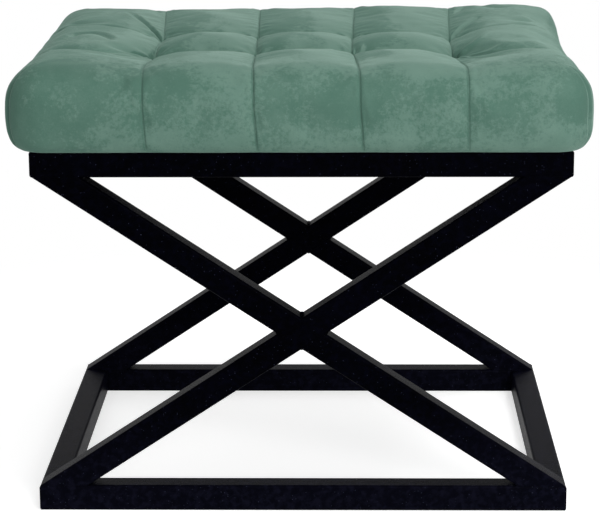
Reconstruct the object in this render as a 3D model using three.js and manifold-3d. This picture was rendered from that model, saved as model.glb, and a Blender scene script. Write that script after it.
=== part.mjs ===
/**
 * Upholstered stool: a tufted velvet cushion on a welded steel frame whose front
 * and back are crossed by diagonal bars.
 *
 * Millimetres, +Z up. X runs along the front, Y from front to back, and the origin
 * is on the floor under the middle of the stool.
 */
import * as THREE from 'three';
import { mergeVertices } from 'three/addons/utils/BufferGeometryUtils.js';
import Module from 'manifold-3d';

const wasm = await Module();
wasm.setup();

// Steel frame
const frameWidth = 500;
const frameDepth = 420;
const frameHeight = 348;
const tubeSize = 25;
const tubeWall = 1.5;
const tubeCornerRadius = 2.5;
const innerCornerChamfer = 1;
const mitreGap = 0.3;
const buttGap = 0.3;
const diagonalEndInset = 1.5;

// Cushion
const cushionOverhang = 18;
const cushionHeight = 82;
const topEdgeRadius = 36;
const hemRadius = 20;
const hemReach = 31;
const coverThickness = 2;
const seatGap = 0.3;
const foamGap = 0.4;

// Tufting
const tuftColumns = 4;
const tuftRows = 2;
const columnPitch = 98;
const rowPitch = 100;
const tuftDepth = 20;
const columnSeamDepth = 6.5;
const rowSeamDepth = 13.5;
const outerColumnReach = 64;
const outerRowReach = 100;
const tuftReach = 45;
const puffRise = 2;
const puffEdgeReach = 44;
const faceSeamDepth = 4;
const faceSeamReach = 44;
const sideWaist = 5;

// Board under the foam
const boardInset = 3;
const boardThickness = 12;
const boardCornerRadius = 20;

// Black cloth under the seat
const dustCoverThickness = 0.8;
const dustCoverSideGap = 1;
const dustCoverDrop = 0.1;

// Twine that holds each tuft down, with its washer and knot
const tieRadius = 1;
const tieWasherRadius = 8;
const tieWasherThickness = 1;
const tieWasherClearance = 0.6;
const knotRadius = 2.4;
const knotHeight = 0.8;
const tieBoardClearance = 1;
const tieFoamClearance = 3;

// Wood screws that hold the seat to the side rails
const screwRadius = 2.25;
const screwLength = 38;
const screwPointLength = 5;
const screwHeadRadius = 4.5;
const screwHeadHeight = 3;
const screwHeadCrown = 1.2;
const socketRadius = 1.5;
const socketDepth = 1.6;
const screwClearance = 0.4;
const screwSpread = 260;
const screwWasherRadius = 6;
const screwWasherThickness = 1;
const cutOverrun = 5;

// Counts of flats on round pieces, and of bands round the cushion's edges
const roundSteps = 16;
const washerSteps = 20;
const twineSteps = 10;
const boreSteps = 10;
const coverBoreSteps = 8;
const tubeCornerSteps = 2;
const boardCornerSteps = 3;
const outerTopBands = 3;
const outerHemBands = 2;
const innerTopBands = 2;
const innerHemBands = 1;

// Finishes
const powderCoat = new THREE.MeshStandardMaterial({ color: 0x14161b, roughness: 0.5, metalness: 0.2 });
const velvet = new THREE.MeshStandardMaterial({ color: 0x648c7c, roughness: 0.9, metalness: 0 });
const foamYellow = new THREE.MeshStandardMaterial({ color: 0xe6d9a8, roughness: 1, metalness: 0 });
const plywood = new THREE.MeshStandardMaterial({ color: 0xc7a274, roughness: 0.8, metalness: 0 });
const blackCloth = new THREE.MeshStandardMaterial({ color: 0x1b1b1d, roughness: 1, metalness: 0 });
const twine = new THREE.MeshStandardMaterial({ color: 0xd8cfb8, roughness: 0.9, metalness: 0 });
const zinc = new THREE.MeshStandardMaterial({ color: 0xb9bcc0, roughness: 0.35, metalness: 1 });

const stool = new THREE.Group();

/** Adds one named piece to the stool. */
function addPiece(name, geometry, material, x = 0, y = 0, z = 0) {
  const piece = new THREE.Mesh(geometry, material);
  piece.name = name;
  piece.position.set(x, y, z);
  stool.add(piece);
  return piece;
}

/** Leaves only positions, shares equal vertices and drops triangles that have collapsed. */
function closeSurface(geometry) {
  const bare = new THREE.BufferGeometry();
  bare.setAttribute('position', geometry.getAttribute('position'));
  if (geometry.index) bare.setIndex(geometry.index);
  const shared = mergeVertices(bare);
  const corners = shared.index.array;
  const kept = [];
  for (let i = 0; i < corners.length; i += 3) {
    const [a, b, c] = [corners[i], corners[i + 1], corners[i + 2]];
    if (a !== b && b !== c && c !== a) kept.push(a, b, c);
  }
  shared.setIndex(kept);
  return shared;
}

function toSolid(geometry) {
  const closed = closeSurface(geometry);
  return new wasm.Manifold(new wasm.Mesh({
    numProp: 3,
    vertProperties: Float32Array.from(closed.getAttribute('position').array),
    triVerts: Uint32Array.from(closed.index.array),
  }));
}

function toGeometry(solid) {
  const mesh = solid.getMesh();
  const geometry = new THREE.BufferGeometry();
  geometry.setAttribute('position', new THREE.BufferAttribute(Float32Array.from(mesh.vertProperties), 3));
  geometry.setIndex(Array.from(mesh.triVerts));
  return geometry;
}

/** Cuts every tool out of the blank. */
function cut(blank, tools) {
  return toGeometry(tools.reduce((solid, tool) => solid.subtract(toSolid(tool)), toSolid(blank)));
}

/** Turns a closed outline of [radius, height] points about the Z axis. */
function turn(outline, steps = roundSteps) {
  const points = outline.map(([radius, height]) => new THREE.Vector2(radius, height));
  return new THREE.LatheGeometry(points, steps).rotateX(Math.PI / 2);
}

/** A round rod standing on Z between two heights. */
function rod(radius, low, high, steps = roundSteps) {
  return turn([[0, low], [radius, low], [radius, high], [0, high]], steps);
}

/** A flat ring lying on Z between two heights. */
function ring(innerRadius, outerRadius, low, high) {
  return turn([
    [innerRadius, low], [outerRadius, low], [outerRadius, high], [innerRadius, high], [innerRadius, low],
  ], washerSteps);
}

// Frame tubes

const halfWidth = frameWidth / 2;
const halfDepth = frameDepth / 2;
const halfTube = tubeSize / 2;

/** The tube's section: a square with round corners outside and small flats in the bore's corners. */
function tubeSection() {
  const flat = halfTube - tubeCornerRadius;
  const section = new THREE.Shape();
  section.absarc(flat, flat, tubeCornerRadius, 0, Math.PI / 2);
  section.absarc(-flat, flat, tubeCornerRadius, Math.PI / 2, Math.PI);
  section.absarc(-flat, -flat, tubeCornerRadius, Math.PI, 1.5 * Math.PI);
  section.absarc(flat, -flat, tubeCornerRadius, 1.5 * Math.PI, 2 * Math.PI);
  section.closePath();
  const bore = halfTube - tubeWall;
  const side = bore - innerCornerChamfer;
  const hole = new THREE.Path();
  hole.moveTo(bore, -side);
  hole.lineTo(bore, side).lineTo(side, bore).lineTo(-side, bore).lineTo(-bore, side);
  hole.lineTo(-bore, -side).lineTo(-side, -bore).lineTo(side, -bore).closePath();
  section.holes.push(hole);
  return section;
}

/** A tube on an axis through a middle point, each end cut by a plane. */
function tubeBetween(middle, along, across, startPlane, endPlane) {
  const up = along.clone().cross(across);
  const geometry = new THREE.ExtrudeGeometry(tubeSection(), {
    depth: 1,
    bevelEnabled: false,
    curveSegments: tubeCornerSteps,
  });
  const places = geometry.getAttribute('position');
  for (let i = 0; i < places.count; i += 1) {
    const base = middle.clone().addScaledVector(across, places.getX(i)).addScaledVector(up, places.getY(i));
    const plane = places.getZ(i) > 0.5 ? endPlane : startPlane;
    base.addScaledVector(along, -plane.distanceToPoint(base) / plane.normal.dot(along));
    places.setXYZ(i, base.x, base.y, base.z);
  }
  return closeSurface(geometry);
}

/** The 45 degree cut at a corner of a rectangle of rails, half a gap short of the true mitre. */
function mitrePlane(cornerX, cornerY, railMiddle) {
  const normal = new THREE.Vector3(Math.sign(cornerX), -Math.sign(cornerY), 0).normalize();
  const corner = new THREE.Vector3(cornerX, cornerY, 0);
  const plane = new THREE.Plane().setFromNormalAndCoplanarPoint(normal, corner);
  plane.constant -= Math.sign(plane.distanceToPoint(railMiddle)) * mitreGap / 2;
  return plane;
}

const alongX = new THREE.Vector3(1, 0, 0);
const alongY = new THREE.Vector3(0, 1, 0);
const alongZ = new THREE.Vector3(0, 0, 1);

/** Four mitred rails laid as a rectangle whose middle is at a height. */
function addRailLoop(level, height) {
  for (const [side, sign] of [['front', -1], ['back', 1]]) {
    const middle = new THREE.Vector3(0, sign * (halfDepth - halfTube), height);
    addPiece(`${side}_${level}_rail`, tubeBetween(
      middle,
      alongX,
      alongY,
      mitrePlane(-halfWidth, sign * halfDepth, middle),
      mitrePlane(halfWidth, sign * halfDepth, middle),
    ), powderCoat);
  }
  for (const [side, sign] of [['left', -1], ['right', 1]]) {
    const middle = new THREE.Vector3(sign * (halfWidth - halfTube), 0, height);
    let rail = tubeBetween(
      middle,
      alongY,
      alongZ,
      mitrePlane(sign * halfWidth, -halfDepth, middle),
      mitrePlane(sign * halfWidth, halfDepth, middle),
    );
    if (level === 'top') {
      rail = cut(rail, [-1, 1].map((end) => rod(
        screwRadius + screwClearance,
        frameHeight - tubeSize - cutOverrun,
        frameHeight + cutOverrun,
      ).translate(middle.x, end * screwSpread / 2, 0)));
    }
    addPiece(`${side}_${level}_rail`, rail, powderCoat);
  }
}

addRailLoop('bottom', halfTube);
addRailLoop('top', frameHeight - halfTube);

/** The slope at which a bar's outer edges start at the two rails, just in from their ends. */
function diagonalAngle() {
  const run = frameWidth - 2 * diagonalEndInset;
  const rise = frameHeight - 2 * tubeSize;
  return Math.atan2(rise, run) + Math.asin(tubeSize / Math.hypot(run, rise));
}

/**
 * The crossed bars of the front or the back: one bar runs whole from bottom left to
 * top right, and the other is in two lengths butted against it.
 */
function addCross(side, y) {
  const angle = diagonalAngle();
  const rise = new THREE.Vector3(Math.cos(angle), 0, Math.sin(angle));
  const fall = new THREE.Vector3(Math.cos(angle), 0, -Math.sin(angle));
  const middle = new THREE.Vector3(0, y, frameHeight / 2);
  const floorRailTop = new THREE.Plane(alongZ, -tubeSize);
  const seatRailBottom = new THREE.Plane(alongZ, tubeSize - frameHeight);
  addPiece(`${side}_diagonal`, tubeBetween(middle, rise, alongY, floorRailTop, seatRailBottom), powderCoat);

  const upward = new THREE.Vector3(-Math.sin(angle), 0, Math.cos(angle));
  const offset = halfTube + buttGap;
  const upperPoint = middle.clone().addScaledVector(upward, offset);
  const lowerPoint = middle.clone().addScaledVector(upward, -offset);
  const upperFace = new THREE.Plane().setFromNormalAndCoplanarPoint(upward, upperPoint);
  const lowerFace = new THREE.Plane().setFromNormalAndCoplanarPoint(upward, lowerPoint);
  const upperHalf = tubeBetween(middle, fall, alongY, seatRailBottom, upperFace);
  const lowerHalf = tubeBetween(middle, fall, alongY, lowerFace, floorRailTop);
  addPiece(`${side}_diagonal_upper_half`, upperHalf, powderCoat);
  addPiece(`${side}_diagonal_lower_half`, lowerHalf, powderCoat);
}

addCross('front', -(halfDepth - halfTube));
addCross('back', halfDepth - halfTube);

// Cushion form, shared by the cover's two faces and by the foam

const cushionBase = frameHeight + seatGap;
const cushionTop = frameHeight + cushionHeight;
const cushionHalfWidth = halfWidth + cushionOverhang;
const cushionHalfDepth = halfDepth + cushionOverhang;
const topHalfWidth = cushionHalfWidth - topEdgeRadius;
const topHalfDepth = cushionHalfDepth - topEdgeRadius;

/** Evenly pitched places about the middle. */
function spread(count, pitch) {
  return Array.from({ length: count }, (_, i) => (i - (count - 1) / 2) * pitch);
}

const columnPlaces = spread(tuftColumns, columnPitch);
const rowPlaces = spread(tuftRows, rowPitch);

/** Shares of a puff's width at which the form is sampled beside each seam. */
const puffSampleShares = [0, 0.15, 0.5, 0.85];
const outerPuffSampleShares = [0, 0.17, 0.55];
const cornerSampleShares = [0, 0.5, 1];
const hemDrawShare = 0.5;

/** Shares that shape the quilting: a seam's round part, and a row's loss of depth at the sides. */
const roundShare = 0.7;
const rowFadeShare = 0.6;

/** Sample lines across the top: on every seam, beside it and in the middle of each puff. */
function sampleLines(seams, half) {
  const outer = half - seams[seams.length - 1];
  const lines = outerPuffSampleShares.map((share) => seams[seams.length - 1] + share * outer);
  lines.push(half);
  const mirrored = outerPuffSampleShares.slice(1).map((share) => seams[0] - share * outer);
  mirrored.push(-half);
  const inner = seams.slice(1).flatMap((seam, i) => (
    puffSampleShares.map((share) => seams[i] + share * (seam - seams[i]))
  ));
  return [...mirrored, ...inner, ...lines].sort((a, b) => a - b);
}

const linesX = sampleLines(columnPlaces, topHalfWidth);
const linesY = sampleLines(rowPlaces, topHalfDepth);

function nearest(places, value) {
  return Math.min(...places.map((place) => Math.abs(place - value)));
}

/** Falls from 1 at a crease to 0 at its reach, steepest at the crease. */
function crease(distance, reach) {
  return (1 - Math.min(distance / reach, 1)) ** 2;
}

/** The same fall with a rounder shoulder, as a stuffed puff has beside its seam. */
function valley(distance, reach) {
  const round = (1 + Math.cos(Math.PI * Math.min(distance / reach, 1))) / 2;
  return roundShare * round + (1 - roundShare) * crease(distance, reach);
}

/** A seam's reach: half a pitch between seams, and its own value outside the last one. */
function reachAt(seams, pitch, outerReach, value) {
  return Math.abs(value) > seams[seams.length - 1] ? outerReach : pitch / 2;
}

/** How far the top is drawn down at a plan point by the seams and the tufts. */
function quiltDrop(x, y) {
  const toColumn = nearest(columnPlaces, x);
  const toRow = nearest(rowPlaces, y);
  const lastColumn = columnPlaces[tuftColumns - 1];
  const beyond = Math.max(Math.abs(x) - lastColumn, 0) / (topHalfWidth - lastColumn);
  const rowHold = 1 - rowFadeShare * Math.sin((Math.PI / 2) * Math.min(beyond, 1));
  const deepest = tuftDepth / Math.cbrt(2);
  const columnDepth = columnSeamDepth + (deepest - columnSeamDepth) * crease(toRow, tuftReach);
  const rowDepth = rowSeamDepth + (deepest - rowSeamDepth) * crease(toColumn, tuftReach);
  const columnReach = reachAt(columnPlaces, columnPitch, outerColumnReach, x);
  const rowReach = reachAt(rowPlaces, rowPitch, outerRowReach, y);
  const columnDrop = columnDepth * valley(toColumn, columnReach);
  const rowDrop = rowDepth * rowHold * valley(toRow, rowReach);
  return Math.cbrt(columnDrop ** 3 + rowDrop ** 3);
}

/** How much a puff in front of or behind the tufts stands above the edge line. */
function puffLift(x, y) {
  const lastRow = rowPlaces[tuftRows - 1];
  const along = Math.max(Math.abs(y) - lastRow, 0) / (topHalfDepth - lastRow);
  const fromSide = Math.min((topHalfWidth - Math.abs(x)) / puffEdgeReach, 1);
  return puffRise * Math.sin(Math.PI * Math.min(along, 1)) * Math.sqrt(Math.max(fromSide, 0));
}

/** How far the side is drawn in at a plan point near the edge. */
function sideDraw(x, y, normal) {
  const alongFront = Math.abs(normal.y) * faceSeamDepth * crease(nearest(columnPlaces, x), faceSeamReach);
  const alongSide = Math.abs(normal.x) * sideWaist * Math.cos((Math.PI / 2) * (y / cushionHalfDepth));
  return Math.max(alongFront, alongSide);
}

/** The edge of the flat top, point by point, with the outward direction at each point. */
function edgePoints() {
  const points = [];
  const corner = (x, y, start) => {
    for (const share of cornerSampleShares) {
      const angle = start + share * Math.PI / 2;
      points.push({ x, y, normal: new THREE.Vector2(Math.cos(angle), Math.sin(angle)) });
    }
  };
  const [midX, midY] = [linesX.slice(1, -1), linesY.slice(1, -1)];
  corner(-topHalfWidth, -topHalfDepth, Math.PI);
  midX.forEach((x) => points.push({ x, y: -topHalfDepth, normal: new THREE.Vector2(0, -1) }));
  corner(topHalfWidth, -topHalfDepth, 1.5 * Math.PI);
  midY.forEach((y) => points.push({ x: topHalfWidth, y, normal: new THREE.Vector2(1, 0) }));
  corner(topHalfWidth, topHalfDepth, 0);
  [...midX].reverse().forEach((x) => points.push({ x, y: topHalfDepth, normal: new THREE.Vector2(0, 1) }));
  corner(-topHalfWidth, topHalfDepth, Math.PI / 2);
  [...midY].reverse().forEach((y) => points.push({ x: -topHalfWidth, y, normal: new THREE.Vector2(-1, 0) }));
  return points;
}

/**
 * The cushion's skin at an inset from its outer face, as rows of points: the sampled
 * top, then rings down the side, round the bottom edge and in to the hem's inner edge.
 */
function cushionRings(inset, topSteps, hemSteps) {
  const edge = edgePoints();
  const topRadius = topEdgeRadius - inset;
  const lowRadius = hemRadius - inset;
  const profile = [];
  for (let i = 0; i <= topSteps; i += 1) {
    const angle = (i / topSteps) * Math.PI / 2;
    profile.push({
      out: topRadius * Math.sin(angle),
      z: cushionTop - topEdgeRadius + topRadius * Math.cos(angle),
      topShare: Math.cos(angle),
      faceShare: Math.sin(angle),
    });
  }
  for (let i = 0; i <= hemSteps; i += 1) {
    const angle = (i / hemSteps) * Math.PI / 2;
    profile.push({
      out: topEdgeRadius - hemRadius + lowRadius * Math.cos(angle),
      z: cushionBase + hemRadius - lowRadius * Math.sin(angle),
      topShare: 0,
      faceShare: Math.cos(angle) * hemDrawShare,
    });
  }
  const rings = profile.map(({ out, z, topShare, faceShare }) => edge.map(({ x, y, normal }) => {
    const reach = out - faceShare * sideDraw(x, y, normal);
    return new THREE.Vector3(x + normal.x * reach, y + normal.y * reach, z - topShare * quiltDrop(x, y));
  }));
  const hemX = cushionHalfWidth - hemRadius - hemReach;
  const hemY = cushionHalfDepth - hemRadius - hemReach;
  rings.push(edge.map(({ x, y }) => new THREE.Vector3(
    THREE.MathUtils.clamp(x, -hemX, hemX),
    THREE.MathUtils.clamp(y, -hemY, hemY),
    cushionBase + inset,
  )));
  return rings;
}

/** Collects triangles as a flat list of corner points. */
class Skin {
  constructor() {
    this.corners = [];
  }

  quad(a, b, c, d) {
    this.corners.push(a, b, c, a, c, d);
  }

  /** Joins two rings of the same length; the first lies nearer the top's middle. */
  band(upper, lower, inward) {
    upper.forEach((_, i) => {
      const next = (i + 1) % upper.length;
      if (inward) this.quad(upper[i], upper[next], lower[next], lower[i]);
      else this.quad(upper[i], lower[i], lower[next], upper[next]);
    });
  }

  /** The sampled top at an inset, facing up, or down when inward. */
  top(inset, inward) {
    const point = (x, y) => new THREE.Vector3(x, y, cushionTop - inset - quiltDrop(x, y) + puffLift(x, y));
    for (let i = 0; i + 1 < linesX.length; i += 1) {
      for (let j = 0; j + 1 < linesY.length; j += 1) {
        const [a, b] = [point(linesX[i], linesY[j]), point(linesX[i + 1], linesY[j])];
        const [c, d] = [point(linesX[i + 1], linesY[j + 1]), point(linesX[i], linesY[j + 1])];
        if (inward) this.quad(a, d, c, b);
        else this.quad(a, b, c, d);
      }
    }
  }

  geometry() {
    const geometry = new THREE.BufferGeometry().setFromPoints(this.corners);
    return closeSurface(geometry);
  }
}

/** Screw places, as signs of X and Y. */
const screwPlaces = [[-1, -1], [1, -1], [-1, 1], [1, 1]].map(([sx, sy]) => [
  sx * (halfWidth - halfTube),
  sy * screwSpread / 2,
]);

const tuftPlaces = rowPlaces.flatMap((y) => columnPlaces.map((x) => [x, y]));

/** The velvet: a skin over the foam, folded under the board and open beneath it. */
function coverGeometry() {
  const skin = new Skin();
  const outer = cushionRings(0, outerTopBands, outerHemBands);
  const inner = cushionRings(coverThickness, innerTopBands, innerHemBands);
  skin.top(0, false);
  outer.slice(1).forEach((lower, i) => skin.band(outer[i], lower, false));
  skin.top(coverThickness, true);
  inner.slice(1).forEach((lower, i) => skin.band(inner[i], lower, true));
  skin.band(outer[outer.length - 1], inner[inner.length - 1], false);
  const holes = screwPlaces.map(([x, y]) => rod(
    screwRadius + screwClearance,
    cushionBase - cutOverrun,
    cushionBase + coverThickness + seatGap,
    coverBoreSteps,
  ).translate(x, y, 0));
  return cut(skin.geometry(), holes);
}

const boardBottom = cushionBase + coverThickness + seatGap;
const boardTop = boardBottom + boardThickness;
const screwWasherTop = frameHeight - tubeSize - seatGap;
const screwWasherBottom = screwWasherTop - screwWasherThickness;
const headTop = screwWasherBottom - seatGap;
const screwTip = headTop + screwLength;

/** The board's outline, grown by a margin. */
function boardOutline(margin) {
  const [x, y] = [halfWidth - boardInset + margin, halfDepth - boardInset + margin];
  const r = boardCornerRadius;
  const outline = new THREE.Shape();
  outline.absarc(x - r, y - r, r, 0, Math.PI / 2);
  outline.absarc(-x + r, y - r, r, Math.PI / 2, Math.PI);
  outline.absarc(-x + r, -y + r, r, Math.PI, 1.5 * Math.PI);
  outline.absarc(x - r, -y + r, r, 1.5 * Math.PI, 2 * Math.PI);
  outline.closePath();
  return outline;
}

function boardBlank(margin, low, high) {
  const plate = new THREE.ExtrudeGeometry(boardOutline(margin), {
    depth: high - low,
    bevelEnabled: false,
    curveSegments: boardCornerSteps,
  });
  return plate.translate(0, 0, low);
}

/** The foam fills the cover, wraps the board's edge and is bored for the ties. */
function foamGeometry() {
  const skin = new Skin();
  const inset = coverThickness + foamGap;
  const rings = cushionRings(inset, innerTopBands, innerHemBands);
  skin.top(inset, false);
  rings.slice(1).forEach((lower, i) => skin.band(rings[i], lower, false));
  const hem = rings[rings.length - 1];
  const middle = new THREE.Vector3(0, 0, hem[0].z);
  hem.forEach((point, i) => skin.corners.push(point, middle, hem[(i + 1) % hem.length]));
  const pocket = boardBlank(seatGap, boardBottom - cutOverrun, boardTop + seatGap);
  const bores = tuftPlaces.map(([x, y]) => rod(
    tieRadius + tieFoamClearance,
    boardTop - cutOverrun,
    cushionTop + cutOverrun,
    boreSteps,
  ).translate(x, y, 0));
  return cut(skin.geometry(), [pocket, ...bores]);
}

function boardGeometry() {
  const ties = tuftPlaces.map(([x, y]) => rod(
    tieRadius + tieBoardClearance,
    boardBottom - cutOverrun,
    boardTop + cutOverrun,
    boreSteps,
  ).translate(x, y, 0));
  const screws = screwPlaces.map(([x, y]) => rod(
    screwRadius + screwClearance,
    boardBottom - cutOverrun,
    screwTip + screwClearance,
    boreSteps,
  ).translate(x, y, 0));
  return cut(boardBlank(0, boardBottom, boardTop), [...ties, ...screws]);
}

addPiece('velvet_cover', coverGeometry(), velvet);
addPiece('foam_block', foamGeometry(), foamYellow);
addPiece('seat_board', boardGeometry(), plywood);

const clothTop = frameHeight - dustCoverDrop;
addPiece('dust_cover', new THREE.BoxGeometry(
  frameWidth - 2 * tubeSize - 2 * dustCoverSideGap,
  frameDepth - 2 * tubeSize - 2 * dustCoverSideGap,
  dustCoverThickness,
), blackCloth, 0, 0, clothTop - dustCoverThickness / 2);

// Ties, from each tuft down to a knot under the board

const washerTop = boardBottom - seatGap;
const washerBottom = washerTop - tieWasherThickness;
const knotTop = washerBottom - seatGap;
const tieTop = cushionTop - tuftDepth - coverThickness - seatGap;

tuftPlaces.forEach(([x, y], i) => {
  addPiece(`tuft_tie_${i + 1}`, turn([
    [0, knotTop - knotHeight],
    [knotRadius, knotTop - knotHeight],
    [knotRadius, knotTop],
    [tieRadius, knotTop],
    [tieRadius, tieTop + puffLift(x, y)],
    [0, tieTop + puffLift(x, y)],
  ], twineSteps), twine, x, y);
  addPiece(
    `tie_washer_${i + 1}`,
    ring(tieRadius + tieWasherClearance, tieWasherRadius, washerBottom, washerTop),
    zinc,
    x,
    y,
  );
});

// Seat screws and their washers, driven up through the side rails into the board

screwPlaces.forEach(([x, y], i) => {
  addPiece(`seat_screw_${i + 1}`, turn([
    [0, headTop - screwHeadHeight + socketDepth],
    [socketRadius, headTop - screwHeadHeight + socketDepth],
    [socketRadius, headTop - screwHeadHeight],
    [screwHeadRadius - screwHeadCrown, headTop - screwHeadHeight],
    [screwHeadRadius, headTop - screwHeadHeight + screwHeadCrown],
    [screwHeadRadius, headTop],
    [screwRadius, headTop],
    [screwRadius, screwTip - screwPointLength],
    [0, screwTip],
  ]), zinc, x, y);
  addPiece(
    `screw_washer_${i + 1}`,
    ring(screwRadius + screwClearance, screwWasherRadius, screwWasherBottom, screwWasherTop),
    zinc,
    x,
    y,
  );
});

export default stool;
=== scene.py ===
"""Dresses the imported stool: a tufted velvet cushion on a crossed, powder-coated frame.

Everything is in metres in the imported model's own frame: X along the front, Y from the
front to the back, Z up, and the origin on the floor under the middle of the stool.
"""
from __future__ import annotations

import logging
import math
from collections.abc import Iterable, Mapping, Sequence
from dataclasses import dataclass, field
from enum import Enum
from functools import cache, cached_property
from itertools import pairwise
from types import MappingProxyType
from typing import Protocol

import bpy
import numpy as np
from mathutils import Matrix, Vector, noise


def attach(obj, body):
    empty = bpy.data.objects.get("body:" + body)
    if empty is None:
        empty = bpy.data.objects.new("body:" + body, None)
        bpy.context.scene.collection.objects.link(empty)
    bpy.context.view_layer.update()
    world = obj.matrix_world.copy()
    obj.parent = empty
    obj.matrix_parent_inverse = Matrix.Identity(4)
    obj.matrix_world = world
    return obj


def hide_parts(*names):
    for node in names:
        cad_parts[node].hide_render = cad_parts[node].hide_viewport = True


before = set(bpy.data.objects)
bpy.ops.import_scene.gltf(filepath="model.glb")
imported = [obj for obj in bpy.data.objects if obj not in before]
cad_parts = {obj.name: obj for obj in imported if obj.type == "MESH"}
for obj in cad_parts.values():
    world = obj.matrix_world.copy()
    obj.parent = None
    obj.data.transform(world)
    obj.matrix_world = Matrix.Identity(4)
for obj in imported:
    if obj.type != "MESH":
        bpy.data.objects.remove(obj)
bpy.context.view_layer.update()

log = logging.getLogger("stool")

BODY = "root"
MM = 0.001

Colour = tuple[float, float, float]
Spot = tuple[float, float, float]
Face = tuple[int, ...]


class Slot(Enum):
    """The record's material slots."""

    POWDER_COAT = "powder_coat"
    VELVET = "velvet"
    FOAM = "foam"
    PLYWOOD = "plywood"
    BLACK_CLOTH = "black_cloth"
    TWINE = "twine"
    ZINC_STEEL = "zinc_steel"


class End(Enum):
    """Which end of the stool a cross stands at, as the sign of Y."""

    FRONT = -1
    BACK = 1


# Node sheets


@dataclass(frozen=True)
class Output:
    """What a node puts out. Numbers add, subtract, multiply and divide as plain ones do."""

    sheet: NodeSheet
    socket: bpy.types.NodeSocket

    def __add__(self, other: Input) -> Output:
        """The sum of two numbers."""
        return self.sheet.math("ADD", self, other)

    def __sub__(self, other: Input) -> Output:
        """What is left when another number is taken away."""
        return self.sheet.math("SUBTRACT", self, other)

    def __rsub__(self, other: float) -> Output:
        """What is left of a plain number when this one is taken away."""
        return self.sheet.math("SUBTRACT", other, self)

    def __mul__(self, other: Input) -> Output:
        """The product of two numbers."""
        return self.sheet.math("MULTIPLY", self, other)

    def __truediv__(self, other: Input) -> Output:
        """One number divided by another."""
        return self.sheet.math("DIVIDE", self, other)


Input = Output | float | int | bool | Sequence[float]


@dataclass(frozen=True)
class NodeSheet:
    """A node tree with short ways to add nodes and join them."""

    tree: bpy.types.NodeTree

    def feed(self, socket: bpy.types.NodeSocket, value: Input) -> None:
        """Links a socket to an output, or sets its own value.

        Args:
            socket: The input socket.
            value: An output, a number or a tuple.
        """
        if isinstance(value, Output):
            self.tree.links.new(value.socket, socket)
        elif socket.type == "RGBA":
            socket.default_value = (*value, 1.0)
        else:
            socket.default_value = value

    def add(self, kind: str, inputs: Mapping[str | int, Input], **settings: object) -> bpy.types.Node:
        """Adds a node and feeds it.

        Args:
            kind: The node's type name.
            inputs: What its inputs are fed, by name or number.
            settings: Properties to set on it first.

        Returns:
            The node.
        """
        node = self.tree.nodes.new(kind)
        for name, value in settings.items():
            setattr(node, name, value)
        for name, value in inputs.items():
            self.feed(node.inputs[name], value)
        return node

    def put(self, kind: str, inputs: Mapping[str | int, Input] = MappingProxyType({}),
            output: str | int = 0, **settings: object) -> Output:
        """Adds a node as above and gives one of its outputs, by name or number."""
        return Output(self, self.add(kind, inputs, **settings).outputs[output])

    def end(self, kind: str, last: Output) -> None:
        """Ends the sheet in a node of a kind, which takes the last output."""
        self.add(kind, {0: last})

    def place(self) -> Output:
        """The point on the piece, in metres."""
        return self.put("ShaderNodeTexCoord", output="Object")

    def split(self, vector: Output) -> tuple[Output, ...]:
        """A vector's three parts."""
        parts = self.add("ShaderNodeSeparateXYZ", {0: vector}).outputs
        return tuple(Output(self, part) for part in parts)

    def math(self, operation: str, *values: Input) -> Output:
        """One sum on the given numbers."""
        return self.put("ShaderNodeMath", dict(enumerate(values)), operation=operation)

    def noise(self, place: Input, scale: Input, **shape: float) -> Output:
        """A cloud noise from 0 to 1, with its detail, roughness and distortion."""
        named = {name.capitalize(): value for name, value in shape.items()}
        return self.put("ShaderNodeTexNoise", {"Vector": place, "Scale": scale, **named})

    def step(self, value: Input, low: Input, high: Input) -> Output:
        """A soft step from 0 at low to 1 at high."""
        ends = {"Value": value, "From Min": low, "From Max": high}
        return self.put("ShaderNodeMapRange", ends, interpolation_type="SMOOTHSTEP")

    def between(self, share: Input, first: float, second: float) -> Output:
        """A number between two numbers, the first where the share is 0."""
        return self.put("ShaderNodeMapRange", {"Value": share, "To Min": first, "To Max": second})

    def blend(self, share: Input, first: Input, second: Input) -> Output:
        """A colour between two colours, the first where the share is 0."""
        return self.put("ShaderNodeMix", {0: share, 6: first, 7: second}, 2, data_type="RGBA")

    def bump(self, height: Input, depth: float) -> Output:
        """A normal bent by a height from 0 to 1 that is so many metres deep."""
        return self.put("ShaderNodeBump", {"Height": height, "Distance": depth})

    def use(self, group: bpy.types.NodeTree, place: Output, **inputs: Input) -> Output:
        """The output of a node group, read at a place, with its inputs by name in small letters."""
        named = {name.capitalize(): value for name, value in inputs.items()}
        return self.put("ShaderNodeGroup", {"Place": place, **named}, node_tree=group)

    def surface(self, **inputs: Input) -> None:
        """Ends a material in a Principled shader.

        Args:
            inputs: Its inputs by name, with spaces written as underscores.
        """
        shader = self.add("ShaderNodeBsdfPrincipled", {})
        names = {socket.name.lower().replace(" ", "_"): socket for socket in shader.inputs}
        for name, value in inputs.items():
            self.feed(names[name], value)
        self.end("ShaderNodeOutputMaterial", Output(self, shader.outputs[0]))


def new_material(name: str) -> tuple[bpy.types.Material, NodeSheet]:
    """Makes an empty node material.

    Args:
        name: Its name.

    Returns:
        The material and its sheet.
    """
    material = bpy.data.materials.new(name)
    material.use_nodes = True
    material.node_tree.nodes.clear()
    return material, NodeSheet(material.node_tree)


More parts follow.
